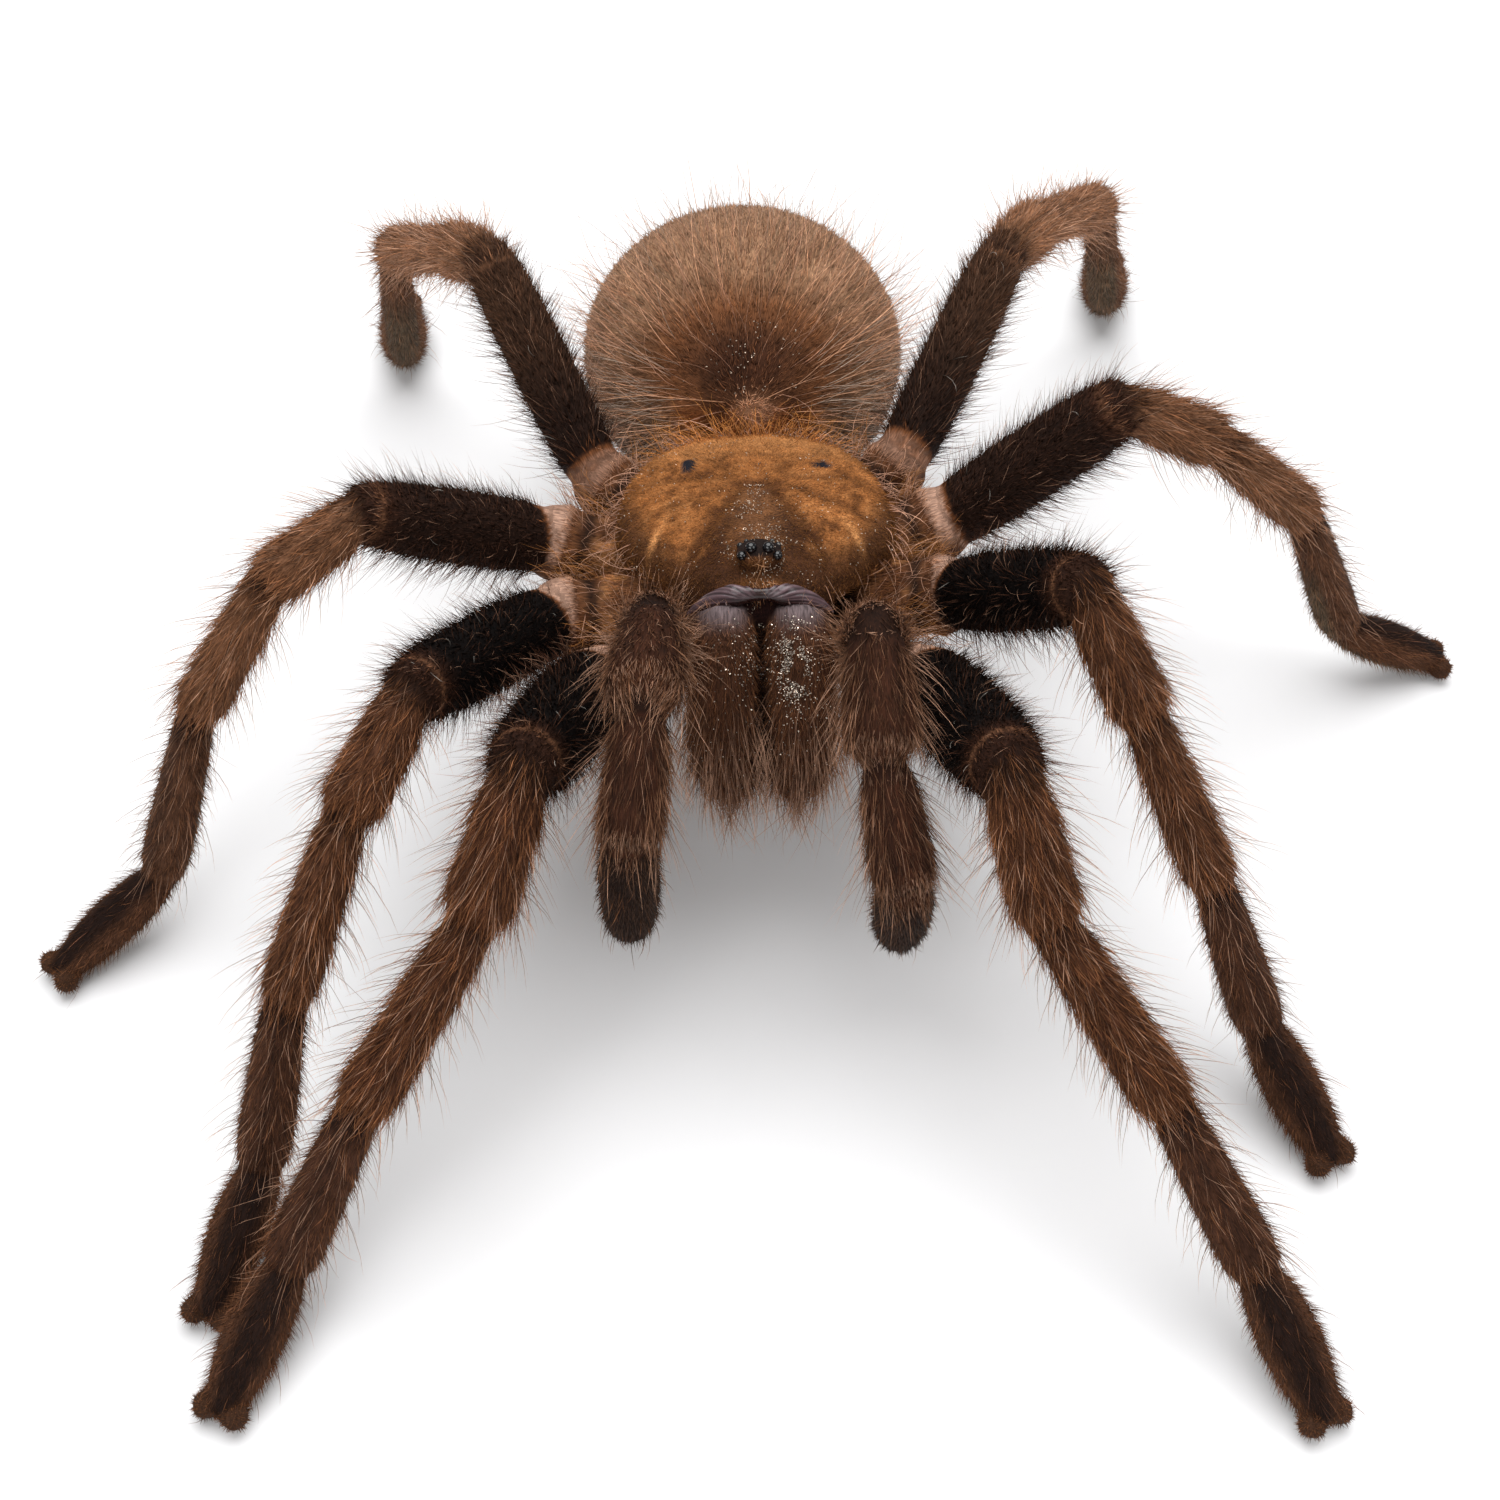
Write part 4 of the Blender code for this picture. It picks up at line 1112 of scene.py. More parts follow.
# The share of hairs that grow at each point of a part, for the layers of the coat
def near_end(at):
    return smooth(at.share, 0.8, 0.93)


def below(at):
    return smooth(-at.top, 0.0, 0.7)


def above(at):
    return smooth(at.top, -0.6, 0.2)


def off_joint(at):
    return 0.3 + 0.7 * smooth(at.share, 0.02, 0.14)


def palp_sides(at):
    """Away from the bare upper face, and off the dark start of a segment."""
    return (0.25 + 0.75 * smooth(at.around, 0.4, 1.1)) * smooth(at.share, 0.04, 0.2)


def sides(at):
    return smooth(at.around, 0.5, 1.0) * fade(at.share, 0.86, 0.95)


def inner_face_shade(at):
    """The inner face of a chelicera, which looks at its neighbour: where shade is painted."""
    return fade(np.abs(at.x), 0.12, 0.32 + 0.75 * smooth(-at.z, -1.0, 5.0))


def femur_pile(at):
    return smooth(at.share - femur_edge(at), -0.012, 0.008)


def femur_rim(at):
    return smooth(at.share, 0.84, 0.91) * fade(at.share, 0.93, 0.96)


def coxa_fur(at):
    return 1 - smooth(at.share, 0.61, 0.68) * 0.98


def coxa_comb(at):
    """The row of bristles that leans over the bare skin at a leg's root."""
    return bell(at.share, 0.87, 0.03)


def coxa_flank(at):
    return bell(at.share, 0.68, 0.22) * smooth(np.abs(np.sin(at.turn)), 0.55, 0.85)


def coxa_crest(at):
    return bell(at.share, 0.58, 0.05)


def coxa_long(at):
    hind = smooth(at.points[:, 1], -2.0, 4.0)
    return smooth(at.share, 0.4, 0.55) * fade(at.share, 0.86, 0.94) * (0.5 + 0.5 * hind)


def shield_margin(at):
    return smooth(np.hypot(at.x / 8.6, at.y / 10.1), 0.86, 0.97) * fade(at.ahead, 8.2, 8.8)


def shield_rear(at):
    return smooth(at.y, 6.2, 8.6)


def shield_middle(at):
    return 1 - np.clip(bald_spots(at) + on_mound(at) + under_lip(at), 0, 1)


def dusty(at):
    settled = smooth(clouds(at.points, 1.1, 41), -0.3, 1.0)
    return (0.12 + 0.88 * wedge(at) * bell(at.x, 0, 2.2)) * settled


def dusty_face(at):
    patch = np.clip(bell(at.x, 1.8, 0.65) * bell(at.z, -0.2, 1.4) * 1.6, 0, 1)
    other = bell(at.x, -1.2, 0.8) * bell(at.z, 0.2, 1.4) * 0.15
    settled = smooth(clouds(at.points, 0.6, 42), -0.7, 0.5)
    return (0.012 + (patch + other) * settled) * smooth(at.ahead, 10.8, 11.8)


def clypeus_edge(at):
    return smooth(at.ahead, 8.65, 8.9) * fade(np.abs(at.x), 4.0, 5.2) * smooth(at.z, 2.1, 2.3)


def clypeus_middle(at):
    return bell(at.x, 0, 0.6) * smooth(at.ahead, 8.62, 8.85) * smooth(at.z, 2.2, 2.4)


def not_bald(at):
    return 1 - bald_top(at)


def low_on_chelicera(at):
    return smooth(-at.z, 0.5, 4.5)


def abdomen_front(at):
    middle = fade(np.abs(at.across), 22.0, 32.0)
    return smooth(-at.rear[:, 1], 9.0, 11.2) * fade(at.rise, 14.0, 22.0) * middle


def abdomen_silhouette(at):
    return smooth(-at.rear[:, 1], -9.0, 2.0)


def patch_ring(at):
    return smooth(at.patch, 0.35, 0.8) * fade(at.patch, 1.3, 2.0)


def off_patch(at):
    return smooth(at.patch, 0.8, 1.2)


def low_front(at):
    band = smooth(np.abs(at.across), 14, 30) * fade(np.abs(at.across), 62, 78)
    return band * fade(at.rise, 22, 50) * smooth(-at.rear[:, 1], -1.0, 3.0)


def patch_middle(at):
    return fade(at.patch, 0.1, 0.6) * smooth(clouds(at.points, 0.9, 43), -0.4, 0.8)


# One kind of hair on one kind of flesh: roots to the square millimetre, length and width, first
# and last angle above the skin, colour of the tip and how far it is reached, and then how many
# rings a hair has, how far its lie swings, how much it curls and gathers into locks, where it
# grows, its own colour, how high its root stands, and how uneven the tones are
Layer = namedtuple(
    "Layer",
    "density length width rise tip tip_share rings swing curl clump where colour lift uneven",
    defaults=(2, 12, 0.2, 0.0, None, None, -0.08, 0.2),
)
FLAT = (22, 20)
LEANING = (46, 12)
STANDING = (62, 24)

PALP_HAIR = (
    Layer(13, 0.95, 0.13, (18, 16), TIP_DULL, 0.12, swing=9, where=off_joint),
    Layer(10, 1.4, 0.05, (20, 16), TIP_DULL, 0.5, swing=5, where=palp_sides),
    Layer(7, 2.0, 0.045, (24, 10), TIP_DULL, 0.9, 3, 5, clump=0.25, where=palp_sides),
    Layer(2.6, 3.0, 0.036, (44, 24), TIP_PINK, 0.95, 4, 8, 0.12, where=palp_sides),
    Layer(40, 0.8, 0.06, (24, 4), TIP_PINK, 0.75, 3, 5, where=near_end),
)
SLEEVE_HAIR = (
    Layer(12, 1.0, 0.14, (20, 17), TIP_TAN, 0.16, swing=10),
    Layer(9, 1.4, 0.05, (26, 22), TIP_TAN, 0.45, swing=9),
    Layer(4, 2.1, 0.05, (28, 6), TIP_TAN, 0.95, 3, 8, clump=0.15),
    Layer(2.6, 2.9, 0.038, (58, 34), TIP_PINK, 0.95, 4, 12, 0.25),
    Layer(16, 1.0, 0.08, (12, 12), TIP_TAN, 0.4, swing=8, where=near_end),
)
COAT = {
    "femur": (
        Layer(13, 0.8, 0.14, FLAT, TIP_BROWN, 0.05, where=femur_pile),
        Layer(11, 1.1, 0.045, (50, 46), TIP_BROWN, 0.1, swing=18, where=femur_pile),
        Layer(3.0, 2.6, 0.036, (66, 46), TIP_RED, 0.8, 4, 12, 0.2, where=below),
        Layer(3.2, 1.9, 0.036, (66, 56), TIP_RED, 0.35, swing=8, where=femur_pile),
        Layer(0.9, 2.4, 0.034, (58, 30), TIP_PINK, 0.85, 5, 16, 0.25, where=femur_pile),
        Layer(0.08, 1.3, 0.045, STANDING, DUST, 0.7, 5, 60, 1.6, where=above),
        Layer(14, 0.5, 0.08, (18, 16), TIP_BROWN, 0.3, where=femur_rim),
    ),
    "patella": SLEEVE_HAIR,
    "tibia": SLEEVE_HAIR,
    "metatarsus": (
        Layer(20, 0.6, 0.09, FLAT, TIP_TAN, 0.12),
        Layer(12, 0.8, 0.05, (50, 46), TIP_TAN, 0.3, where=sides),
        Layer(1.6, 1.5, 0.042, LEANING, TIP_TAN, 0.7, 3, 12),
        Layer(2.0, 2.5, 0.034, STANDING, TIP_PINK, 0.9, 4, 14, 0.3, where=above),
        Layer(14, 0.9, 0.09, (14, 12), TIP_TAN, 0.35, where=near_end),
    ),
    "tarsus": (
        Layer(28, 0.45, 0.08, (32, 28), TIP_TAN, 0.06),
        Layer(24, 0.7, 0.05, (54, 50), TIP_TAN, 0.22, where=sides),
        Layer(1.4, 1.1, 0.04, LEANING, TIP_TAN, 0.5, 3, 14),
        Layer(0.5, 1.9, 0.036, STANDING, TIP_RED, 0.8, 4, 16, where=above),
    ),
    "palp_femur": PALP_HAIR,
    "palp_patella": PALP_HAIR,
    "palp_tibia": PALP_HAIR,
    "hoof": (
        Layer(24, 0.55, 0.1, (30, 26), TIP_DULL, 0.06),
        Layer(14, 0.6, 0.05, (46, 42), TIP_DULL, 0.2),
        Layer(1.6, 1.2, 0.04, LEANING, TIP_TAN, 0.55, 4, 14),
    ),
    "tuft": (Layer(60, 0.3, 0.06, (74, 72), TIP_ORANGE, 0.18, swing=30),),
    "coxa": (
        Layer(24, 0.55, 0.09, (26, 22), TIP_BROWN, 0.4, swing=16, where=coxa_fur),
        Layer(8, 0.75, 0.05, (44, 14), TIP_GOLD, 0.5, 3, 12, 0.3, where=coxa_fur),
        Layer(24, 0.75, 0.055, (50, 0), TIP_TAN, 0.8, 3, 7, where=coxa_crest),
        Layer(60, 0.55, 0.05, (40, 0), TIP_PINK, 0.7, 3, 5, 0.15, 0, coxa_comb, COXA_TAN),
        Layer(2.4, 2.7, 0.042, (60, 10), TIP_PINK, 0.95, 6, 30, 1.0, 0, coxa_long, SILHOUETTE),
        Layer(8, 2.2, 0.042, (66, 26), TIP_GOLD, 0.8, 4, 14, 0.4, 0, coxa_flank, COXA_TAN),
    ),
    "carapace": (
        Layer(66, 0.42, 0.062, (28, 24), TIP_GOLD, 0.3, swing=50, where=shield_middle),
        Layer(3.2, 2.4, 0.042, (60, 0), TIP_PINK, 0.95, 6, 34, 1.1, 0, shield_margin, SILHOUETTE),
        Layer(8, 0.7, 0.045, (36, 4), TIP_GOLD, 0.6, 3, 20, 0.3, where=shield_margin),
        Layer(9, 3.2, 0.042, (42, 14), TUFT_GOLD, 0.95, 4, 14, 0.2, 0, shield_rear, CARAPACE_GOLD),
        Layer(40, 1.3, 0.036, (60, -20), TIP_DULL, 0.5, 3, where=clypeus_edge),
        Layer(34, 1.6, 0.038, (66, 10), TIP_PINK, 0.9, 4, 20, 0.5, 0, clypeus_middle, CREST_TAN),
        Layer(26, 0.1, 0.085, (30, 30), DUST_DIM, 0.9, 2, 90, 0.2, 0, dusty, DUST_DIM, 0.16, 0.6),
    ),
    "sternum": (Layer(12, 1.1, 0.1, (40, 30), TIP_BROWN, 0.4),),
    "chelicera": (
        Layer(22, 0.7, 0.1, (20, 17), TIP_DULL, 0.12, where=not_bald),
        Layer(16, 1.0, 0.045, (28, 24), TIP_TAN, 0.6, swing=10, where=not_bald),
        Layer(9, 1.6, 0.05, (26, 20), TIP_DULL, 0.4, swing=6, where=low_on_chelicera),
        Layer(9, 3.4, 0.042, (34, 14), TIP_PINK, 0.9, 4, 7, 0.15, where=low_on_chelicera),
        # Near-black hairs on the inner faces stand in for the shade in the gap between the chelicerae
        Layer(60, 0.8, 0.14, (60, 56), BLACK_BROWN, 0.9, swing=60, where=inner_face_shade),
        Layer(220, 0.08, 0.085, (40, 40), DUST, 0.9, 2, 90, 0.2, 0, dusty_face, DUST_DIM, 0.15, 0.8),
    ),
    "abdomen": (
        Layer(20, 0.65, 0.11, (28, 25), TIP_TAN, 0.1, swing=16),
        Layer(4, 0.9, 0.055, (32, 28), BLACK_BROWN, 0.5),
        Layer(1.9, 5.4, 0.05, (24, 8), TIP_PINK, 1.0, 6, 6, 0.3, 0.5, patch_ring, STRAND_TAN),
        Layer(2.4, 4.2, 0.04, (26, 8), TIP_GREY, 0.9, 5, 7, 0.35, 0.5, low_front, STRAND_GREY),
        Layer(0.6, 4.0, 0.042, (32, 12), TIP_GREY, 1.0, 5, 9, clump=0.3, where=off_patch),
        Layer(0.6, 5.2, 0.034, (72, 36), TIP_PINK, 0.9, 6, 12, 0.9, 0, abdomen_silhouette, SILHOUETTE),
        Layer(5, 2.0, 0.042, (44, 14), TUFT_GOLD, 0.8, 5, 30, 0.9, where=abdomen_front),
        Layer(80, 0.5, 0.07, (40, 30), TIP_PINK, 0.9, 2, 50, 0.2, 0, pale_tuft, TIP_TAN),
        Layer(12, 0.12, 0.1, (30, 30), DUST_DIM, 0.9, 2, 90, 0.2, 0, patch_middle, DUST_DIM, 0.18, 0.6),
    ),
    "spinneret": (Layer(20, 0.6, 0.09, (30, 26), TIP_TAN, 0.3),),
}
# Widths of the cells whose hairs are drawn together, and of the locks that differ in tone
CLUMP_CELL = 1.1
LOCK_CELL = 0.8
LOCK_TONE = 0.22
# Brightness of the skin and of a hair's root against the animal's own colour, and of a hair's
# tip against its root. The darker skin and roots are painted shade deep in the fur; the lighter
# tips are the hairs' own.
SKIN_TONE = 0.8
ROOT_TONE = 0.75
TIP_TONE = 1.7
# How much hairs of one layer differ: length and width as shares, rise in degrees
LENGTH_SPREAD = 0.25
WIDTH_SPREAD = 0.2
RISE_SPREAD = 7
# The least heights above the floor of a root and of any point of a hair
ROOT_HEIGHT = FLOOR_CLEARANCE + 0.05
HAIR_HEIGHT = 0.02

COAT_PIECES = [*LIMBS, "chelicerae", "carapace", "abdomen_upper", "abdomen_lower"]
COAT_SLOTS = {"carapace": "carapace", "abdomen_upper": "abdomen", "abdomen_lower": "abdomen"}


def spread_point():
    """The point of the abdomen's face that its coat spreads from."""
    rise = math.radians(SPREAD_RISE)
    return from_abdomen(np.array([0, -math.cos(rise), math.sin(rise)]) * ABDOMEN_SIZE / 2)


def lie_vectors(zone, points):
    """Which way the coat lies at each point, before it is laid flat on the skin."""
    lies = np.zeros((len(points), 3))
    for part, here in by_part(zone):
        if part.kind == "carapace":
            local = to_body(points[here])
            out = local - (FOVEA[0], FOVEA[1] + 0.5, 0)
            out[:, 2] = -0.2
            head = (smooth(-local[:, 1], 1.0, 6.0) * fade(np.abs(local[:, 0]), 2.0, 5.0))[:, None]
            lies[here] = (unit(out) * (1 - head) + np.array([0, -1.0, 0]) * head) @ BODY_TURN
        elif part.kind == "abdomen":
            lies[here] = points[here] - spread_point()
        elif part.kind == "tuft":
            lies[here] = points[here] - part.centre
        else:
            lies[here] = part.aim
    return lies


STREAK = 7.0
STREAK_RING = 9.0


def flow_at(zone, points):
    """Places drawn together along the lie of the coat, so that noise read there is streaked."""
    flow = points.copy()
    for part, here in by_part(zone):
        if part.kind == "abdomen":
            off = points[here] - spread_point()
            axis = unit(spread_point() - np.array(ABDOMEN_CENTRE))
            radial = unit(off - np.outer(off @ axis, axis))
            flow[here] = radial * STREAK_RING + np.outer(np.linalg.norm(off, axis=1), axis) / STREAK
        elif part.kind not in ("carapace", "tuft", "sternum"):
            flow[here] -= np.outer(points[here] @ part.aim, part.aim) * (1 - 1 / STREAK)
    return flow


def home_of(part):
    """The coat piece of a part of flesh, or abdomen for its two pieces."""
    if part.limb.startswith("chelicera"):
        return "chelicerae"
    return "carapace" if part.limb == "body" else part.limb


HOMES = np.array([home_of(part) for part in ZONES])


def patch_places(name, zone, share, turn):
    """Each root's place on an unwrap of the skin: one strip for each part, cut along its side."""
    members = np.flatnonzero(HOMES == ("abdomen" if name.startswith("abdomen") else name))
    u = 0.01 + 0.98 * (np.mod(turn / (2 * math.pi) + 0.5, 1))
    v = np.searchsorted(members, zone) + 0.06 + 0.88 * np.clip(share * 0.8 + 0.1, 0, 1)
    return columns(u, v * (1 / len(members)))


PATCH = 0.003
FLAT_WIDTH = 0.06
STRAND_TURNS = np.radians([90, 210, 330])


class Strands:
    """Tapered three-sided hairs, gathered for one coat piece."""

    def __init__(self):
        self.rows = []
        self.count = 0

    def add(self, layer, patches, hairs):
        """Grows a hair at each point: rises is its first and last angle above the skin."""
        points, normals, lies, lengths, widths, rises, bends, colours, tips = hairs
        lies = laid_flat(lies, normals)
        across = np.cross(normals, lies)
        count = len(points)
        marks = np.linspace(0, 1, layer.rings)
        place = points + normals * layer.lift
        flat = np.clip(FLAT_WIDTH / widths, 0.35, 1)[:, None]
        rings = []
        tones = []
        for mark in marks:
            angle = (rises[:, 0] + (rises[:, 1] - rises[:, 0]) * mark)[:, None]
            bend = (bends * mark)[:, None]
            heading = lies * np.cos(bend) + across * np.sin(bend)
            sideways = across * np.cos(bend) - lies * np.sin(bend)
            step = heading * np.cos(angle) + normals * np.sin(angle)
            if mark:
                place = place + step * (lengths / (layer.rings - 1))[:, None]
            tone = blend(colours, tips, mark**1.3)[:, None]
            if mark == 1:
                rings.append(place[:, None])
                tones.append(tone)
                break
            top = np.cross(step, sideways) * flat
            thick = widths / 2 * (1 - mark**1.6) ** 0.8
            turns = STRAND_TURNS[None, :, None]
            ring = sideways[:, None] * np.cos(turns) + top[:, None] * np.sin(turns)
            rings.append(place[:, None] + ring * thick[:, None, None])
            tones.append(np.repeat(tone, 3, axis=1))
        places = np.concatenate(rings, axis=1)
        per_hair = places.shape[1]
        last = per_hair - 4
        sides = ring_quads(layer.rings - 1, 3)[:, [0, 1, 2, 0, 2, 3]].reshape(-1, 3)
        point = [(last + i, last + (i + 1) % 3, per_hair - 1) for i in range(3)]
        starts = (self.count + np.arange(count) * per_hair)[:, None, None]
        across_patch = np.append(np.tile([0.0, -0.5, 0.5], layer.rings - 1), 0.0)
        along_patch = np.append(np.repeat(marks[:-1], 3), 1.0) - 0.5
        own = ((self.count + np.arange(count)) % 997 * 0.37)[:, None]
        along_grain = along_patch * lengths[:, None] / STREAK
        made = (
            places,
            np.concatenate([[(0, 2, 1)], sides, point])[None] + starts,
            np.concatenate(tones, axis=1),
            patches[:, None] + columns(across_patch, along_patch)[None] * PATCH,
            columns(across_patch * widths[:, None], along_grain, own),
        )
        self.rows.append([part.reshape(-1, part.shape[-1]) for part in made])
        self.count += count * per_hair

    def make_object(self, name, finish, slot):
        places, faces, colours, patches, grain = (np.concatenate(part) for part in zip(*self.rows))
        places[:, 2] = np.maximum(places[:, 2], HAIR_HEIGHT)
        obj = mesh_object(name, places, faces, finish)
        store_colour(obj, "coat", colours)
        store_vector(obj, "grain", grain)
        layer = obj.data.uv_layers.new(name="OFBake")
        corners = np.empty(len(obj.data.loops), np.int32)
        obj.data.loops.foreach_get("vertex_index", corners)
        layer.data.foreach_set("uv", np.clip(patches, 0, 1)[corners].astype(np.float32).ravel())


def grow_layer(skin, strands, draw, kind, layer):
    """One layer of hair on every part of one kind, shared out among the coat pieces."""
    on_kind = np.array([part.kind == kind for part in ZONES])[skin.zone]
    points, normals, chosen = skin.roots(np.where(on_kind, layer.density, 0.0), draw)
    zone, share, turn = skin.zone[chosen], skin.share[chosen], skin.turn[chosen]
    keep = points[:, 2] > ROOT_HEIGHT
    if layer.where:
        keep &= draw.random(len(points)) < layer.where(Spots(share, turn, points))
    points, normals, zone, share, turn = (part[keep] for part in (points, normals, zone, share, turn))
    count = len(points)
    swing = np.radians(draw.normal(0, layer.swing, count))[:, None]
    flat = laid_flat(lie_vectors(zone, points), normals)
    lies = flat * np.cos(swing) + np.cross(normals, flat) * np.sin(swing)
    if layer.clump:
        centres = (np.floor(points / CLUMP_CELL) + 0.5) * CLUMP_CELL
        lies = lies + (centres - points) / CLUMP_CELL * layer.clump
    lengths = layer.length * np.clip(np.exp(draw.normal(0, LENGTH_SPREAD, count)), 0.5, 1.7)
    widths = layer.width * np.clip(np.exp(draw.normal(0, WIDTH_SPREAD, count)), 0.6, 1.7)
    rises = np.radians(np.array(layer.rise) + draw.normal(0, RISE_SPREAD, (count, 1)))
    bends = draw.normal(0, layer.curl, count)
    tone = draw.normal(0, layer.uneven, count) + clouds(points, LOCK_CELL, 31) * LOCK_TONE
    tone = np.exp(tone)[:, None]
    base = colour_at(zone, share, turn, points) * ROOT_TONE
    if layer.colour is not None:
        base = base * 0 + layer.colour
    tips = blend(base * TIP_TONE, layer.tip, layer.tip_share) * tone
    hairs = (points, normals, lies, lengths, widths, rises, bends, base * tone, tips)
    home = HOMES[zone]
    if kind in ("abdomen", "spinneret"):
        home = np.where(to_abdomen(points)[:, 2] > 0, "abdomen_upper", "abdomen_lower")
    for name in np.unique(home):
        here = home == name
        patches = patch_places(name, zone[here], share[here], turn[here])
        strands[name].add(layer, patches, [part[here] for part in hairs])


def grow_coat(skin):
    """Every coat piece, each a joined mesh of hairs rooted on the skin."""
    strands = {name: Strands() for name in COAT_PIECES}
    draw = np.random.default_rng(SEED)
    for kind, layers in COAT.items():
        for layer in layers:
            grow_layer(skin, strands, draw, kind, layer)
    settings = {"Roughness": 0.55, "Specular IOR Level": 0.1}
    finish = material("hair", "coat", settings, ((17, 2.0, "grain", 0.5, 1.5),))
    for name, grown in strands.items():
        grown.make_object(f"coat_{name}", finish, COAT_SLOTS.get(name, "leg_brown"))


def ball_arrays(centre, radius, around=20, along=12):
    """Points and quads of a small sphere, its poles closed by thin rings."""
    marks = np.linspace(0.02, math.pi - 0.02, along)[:, None]
    turns = circle(around)
    places = columns(np.sin(marks) * np.cos(turns), np.sin(marks) * np.sin(turns), np.cos(marks))
    return places.reshape(-1, 3) * radius + centre, ring_quads(along, around)[:, [0, 3, 2, 1]]


def hard_material(name, colour, roughness, grain, gloss):
    """A hard or wet surface with a little tone and grain of its own."""
    settings = {"Roughness": roughness, "Coat Weight": gloss}
    return material(name, colour, settings, ((grain, 3.0, None, 0.7, 1.3),), (0.15, 0.00005))


def make_eyes():
    """The eight eyes, set into the knob on the head."""
    wide, deep, high = (size / 2 for size in TUBERCLE_SIZE)
    places = []
    quads = []
    for sign in (-1, 1):
        for (x, y, radius), sink in zip(EYE_PAIRS, EYE_SINK):
            z = high * math.sqrt(max(0.05, 1 - (x / wide) ** 2 - (y / deep) ** 2)) - sink
            centre = from_body(tubercle_base() + (sign * x, y, z))
            points, faces = ball_arrays(centre, radius)
            quads.append(faces + len(points) * len(places))
            places.append(points)
    finish = hard_material("wet_eye", (0.003, 0.003, 0.004), 0.05, 3000, 0.3)
    obj = mesh_object("eyes", np.concatenate(places), np.concatenate(quads), finish)
    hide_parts("eye_tubercle")


def make_fangs():
    """The curved black fangs under the chelicerae."""
    finish = hard_material("fang_horn", (0.012, 0.008, 0.007), 0.2, 4000, 0.6)
    steps = FANG_STEPS
    radii = [max(FANG_TIP, FANG_ROOT * (1 - (i / steps) ** 1.2)) for i in range(steps)]
    for side, sign in SIDES:
        points = [from_body((sign * FANG_PLACE[0], *FANG_PLACE[1:]))]
        for index in range(1, steps):
            turn = math.radians(FANG_FIRST_TURN + FANG_TURN * index / steps)
            bend = np.array([0, math.sin(turn), -math.cos(turn) * FANG_DEPTH])
            points.append(points[-1] + bend * FANG_LENGTH / steps)
        cage = Cage()
        cage.add_path(points, radii, FANG_SIDES)
        quads = ring_quads(steps, FANG_SIDES)
        obj = mesh_object(f"fang_horn_{side}", cage.places[0], quads, finish)
        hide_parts(f"fang_{side}")


# The lip between the clypeus and the chelicerae, in the carapace's own frame
LIP_HALF = 4.3
LIP_PLACE = (-9.98, 2.2)
LIP_BEND = (0.9, -1.9)
LIP_SIZE = (0.56, 0.78)
LIP_FOLDS = 34
LIP_FOLD_DEPTH = 0.06
LIP_FAN = (-0.5, 3.0)
LIP_WAIST = (0.5, 0.45)
LIP_RINGS = (101, 96)


def make_membrane():
    """The smooth folded lip between the clypeus and the chelicerae."""
    rings, around = LIP_RINGS
    across = np.linspace(-0.995, 0.995, rings)[:, None]
    out = np.abs(across)
    turns = circle(around)[None]
    least, reach = LIP_WAIST
    taper = (1 - out**3) ** 0.6 * (least + (1 - least) * smooth(out, 0.0, reach))
    fading = smooth(out, 0.02, 0.12) * (1 - 0.8 * smooth(out, 0.5, 0.9))
    rolled = np.mod(turns - LIP_FAN[0], 2 * math.pi)
    fan = np.arctan2(rolled, out * LIP_FAN[1])
    folds = np.sin(fan * LIP_FOLDS + 1.4 * np.sin(fan * 9 + 3 * across)) * fading
    folds = folds * fade(rolled, 3.0, 4.5) * (0.6 + 0.4 * np.sin(fan * 15 + 5 * across))
    swell = taper * (1 + LIP_FOLD_DEPTH * folds)
    y = LIP_PLACE[0] + LIP_BEND[0] * across**2 - LIP_SIZE[0] * swell * np.cos(turns)
    z = LIP_PLACE[1] + LIP_BEND[1] * out**2.4 + LIP_SIZE[1] * swell * np.sin(turns)
    places = from_body(columns(across * LIP_HALF, y, z).reshape(-1, 3))
    settings = {
        "Roughness": 0.26,
        "Subsurface Weight": 0.15,
        "Subsurface Radius": (0.001, 0.0006, 0.0005),
    }
    finish = material("face_membrane", "markings", settings, ((1800, 3.0, None, 0.75, 1.2),))
    lip = mesh_object("face_membrane", places, ring_quads(rings, around), finish)
    # Painted shade: maroon on the underside of the lip and in its middle cleft. The tone is a painted
    # highlight on the crests of the folds and painted shade in their troughs.
    low = smooth(-np.sin(turns), -0.35, 0.3)
    maroon = np.clip(np.maximum(low, bell(across, 0, 0.14)), 0, 1).ravel()
    tone = 1.6 - 1.15 * smooth(-folds, -0.5, 0.6).ravel()
    store_colour(lip, "markings", blend(LIP_GREY, LIP_SHADE_MAROON, maroon) * tone[:, None])


FLOOR_HALF = 3.0


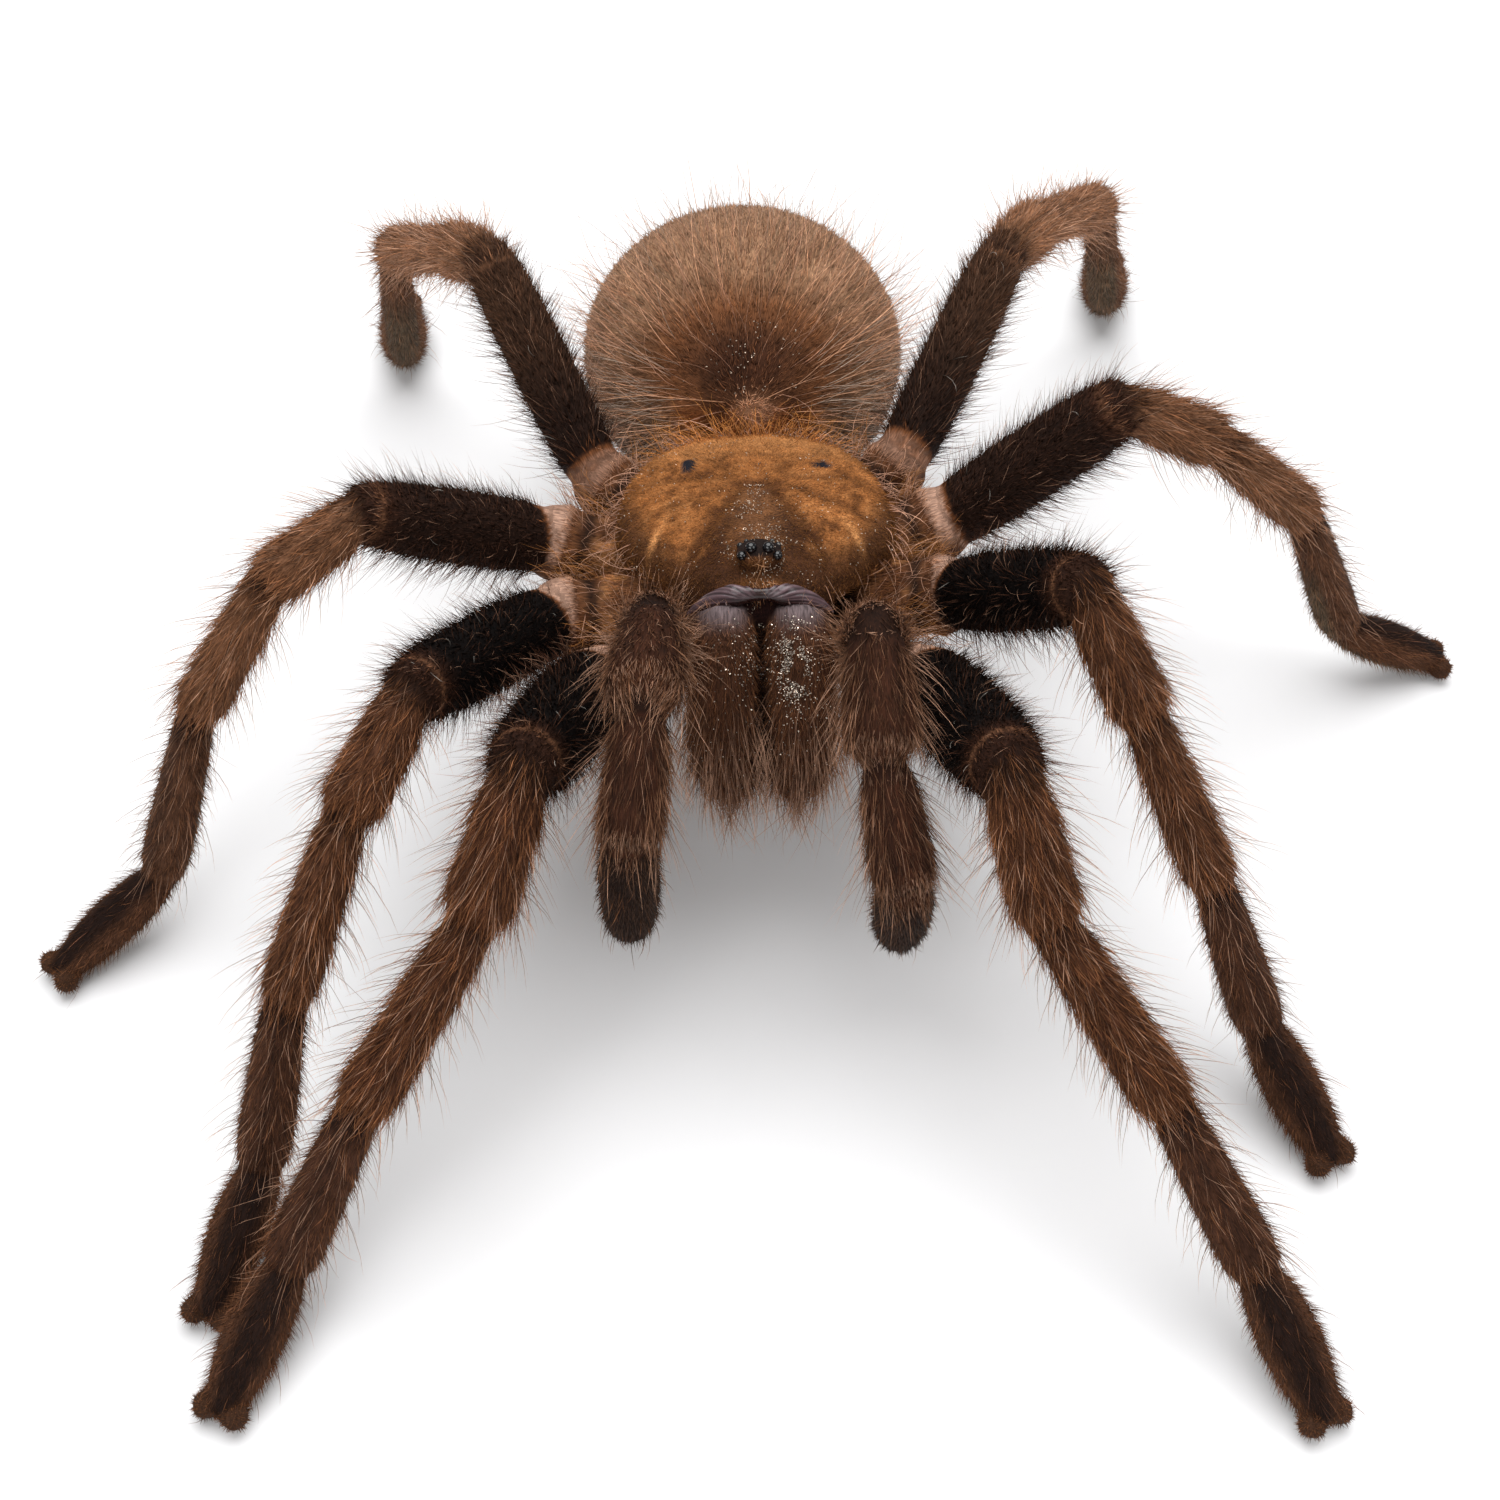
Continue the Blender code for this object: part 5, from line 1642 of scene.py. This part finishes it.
def make_floor():
    mesh = bpy.data.meshes.new("floor")
    corners = [(x * FLOOR_HALF, y * FLOOR_HALF, 0) for x, y in ((-1, -1), (1, -1), (1, 1), (-1, 1))]
    mesh.from_pydata(corners, [], [(0, 1, 2, 3)])
    settings = {"Roughness": 0.9, "Specular IOR Level": 0.1}
    finish = material("paper", (0.86, 0.86, 0.87), settings)
    mesh.materials.append(finish)
    floor = add_object("floor", mesh)


def aim_at(obj, place, direction):
    """Puts a camera or light at a place and turns it to look along a direction."""
    obj.location = place
    obj.rotation_euler = direction.to_track_quat("-Z", "Y").to_euler()


def make_camera():
    rise, turn = math.radians(CAMERA_RISE), math.radians(CAMERA_TURN)
    level = math.cos(rise)
    back = Vector((math.sin(turn) * level, -math.cos(turn) * level, math.sin(rise)))
    camera = add_object("camera", bpy.data.cameras.new("camera"))
    aim_at(camera, Vector(to_frame(CAMERA_TARGET)) + back * CAMERA_DISTANCE * MM, -back)
    camera.data.sensor_width = SENSOR
    camera.data.lens = FOCAL_PIXELS / PHOTO_SIDE * SENSOR
    camera.data.clip_start = 0.005
    camera.data.clip_end = 20
    bpy.context.scene.camera = camera


# Each lamp's name, place, width and power
LAMPS = (
    ("key", (0.0, 0.12, 0.55), 0.7, 4.3),
    ("front", (-0.25, -0.5, 0.38), 0.5, 1.8),
    ("side", (0.5, -0.2, 0.3), 0.4, 0.9),
)
LAMP_TARGET = (0, 0, 0.01)


def make_lights():
    for name, place, size, power in LAMPS:
        data = bpy.data.lights.new(name, "AREA")
        data.shape = "DISK"
        data.size = size
        data.energy = power
        aim_at(add_object(name, data), place, Vector(LAMP_TARGET) - Vector(place))
    world = bpy.data.worlds.new("studio")
    world.use_nodes = True
    background = world.node_tree.nodes["Background"]
    set_inputs(background, {"Color": (1.0, 0.985, 0.97, 1), "Strength": 0.24})
    bpy.context.scene.world = world
    bpy.context.scene.view_settings.view_transform = "Standard"


skin = Skin()
skin_object = skin.make_object()
SEPARATE = ("eye_tubercle", "fang_left", "fang_right")
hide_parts(*[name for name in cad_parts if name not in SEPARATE])
grow_coat(skin)
make_eyes()
make_fangs()
make_membrane()
make_floor()
make_camera()
make_lights()
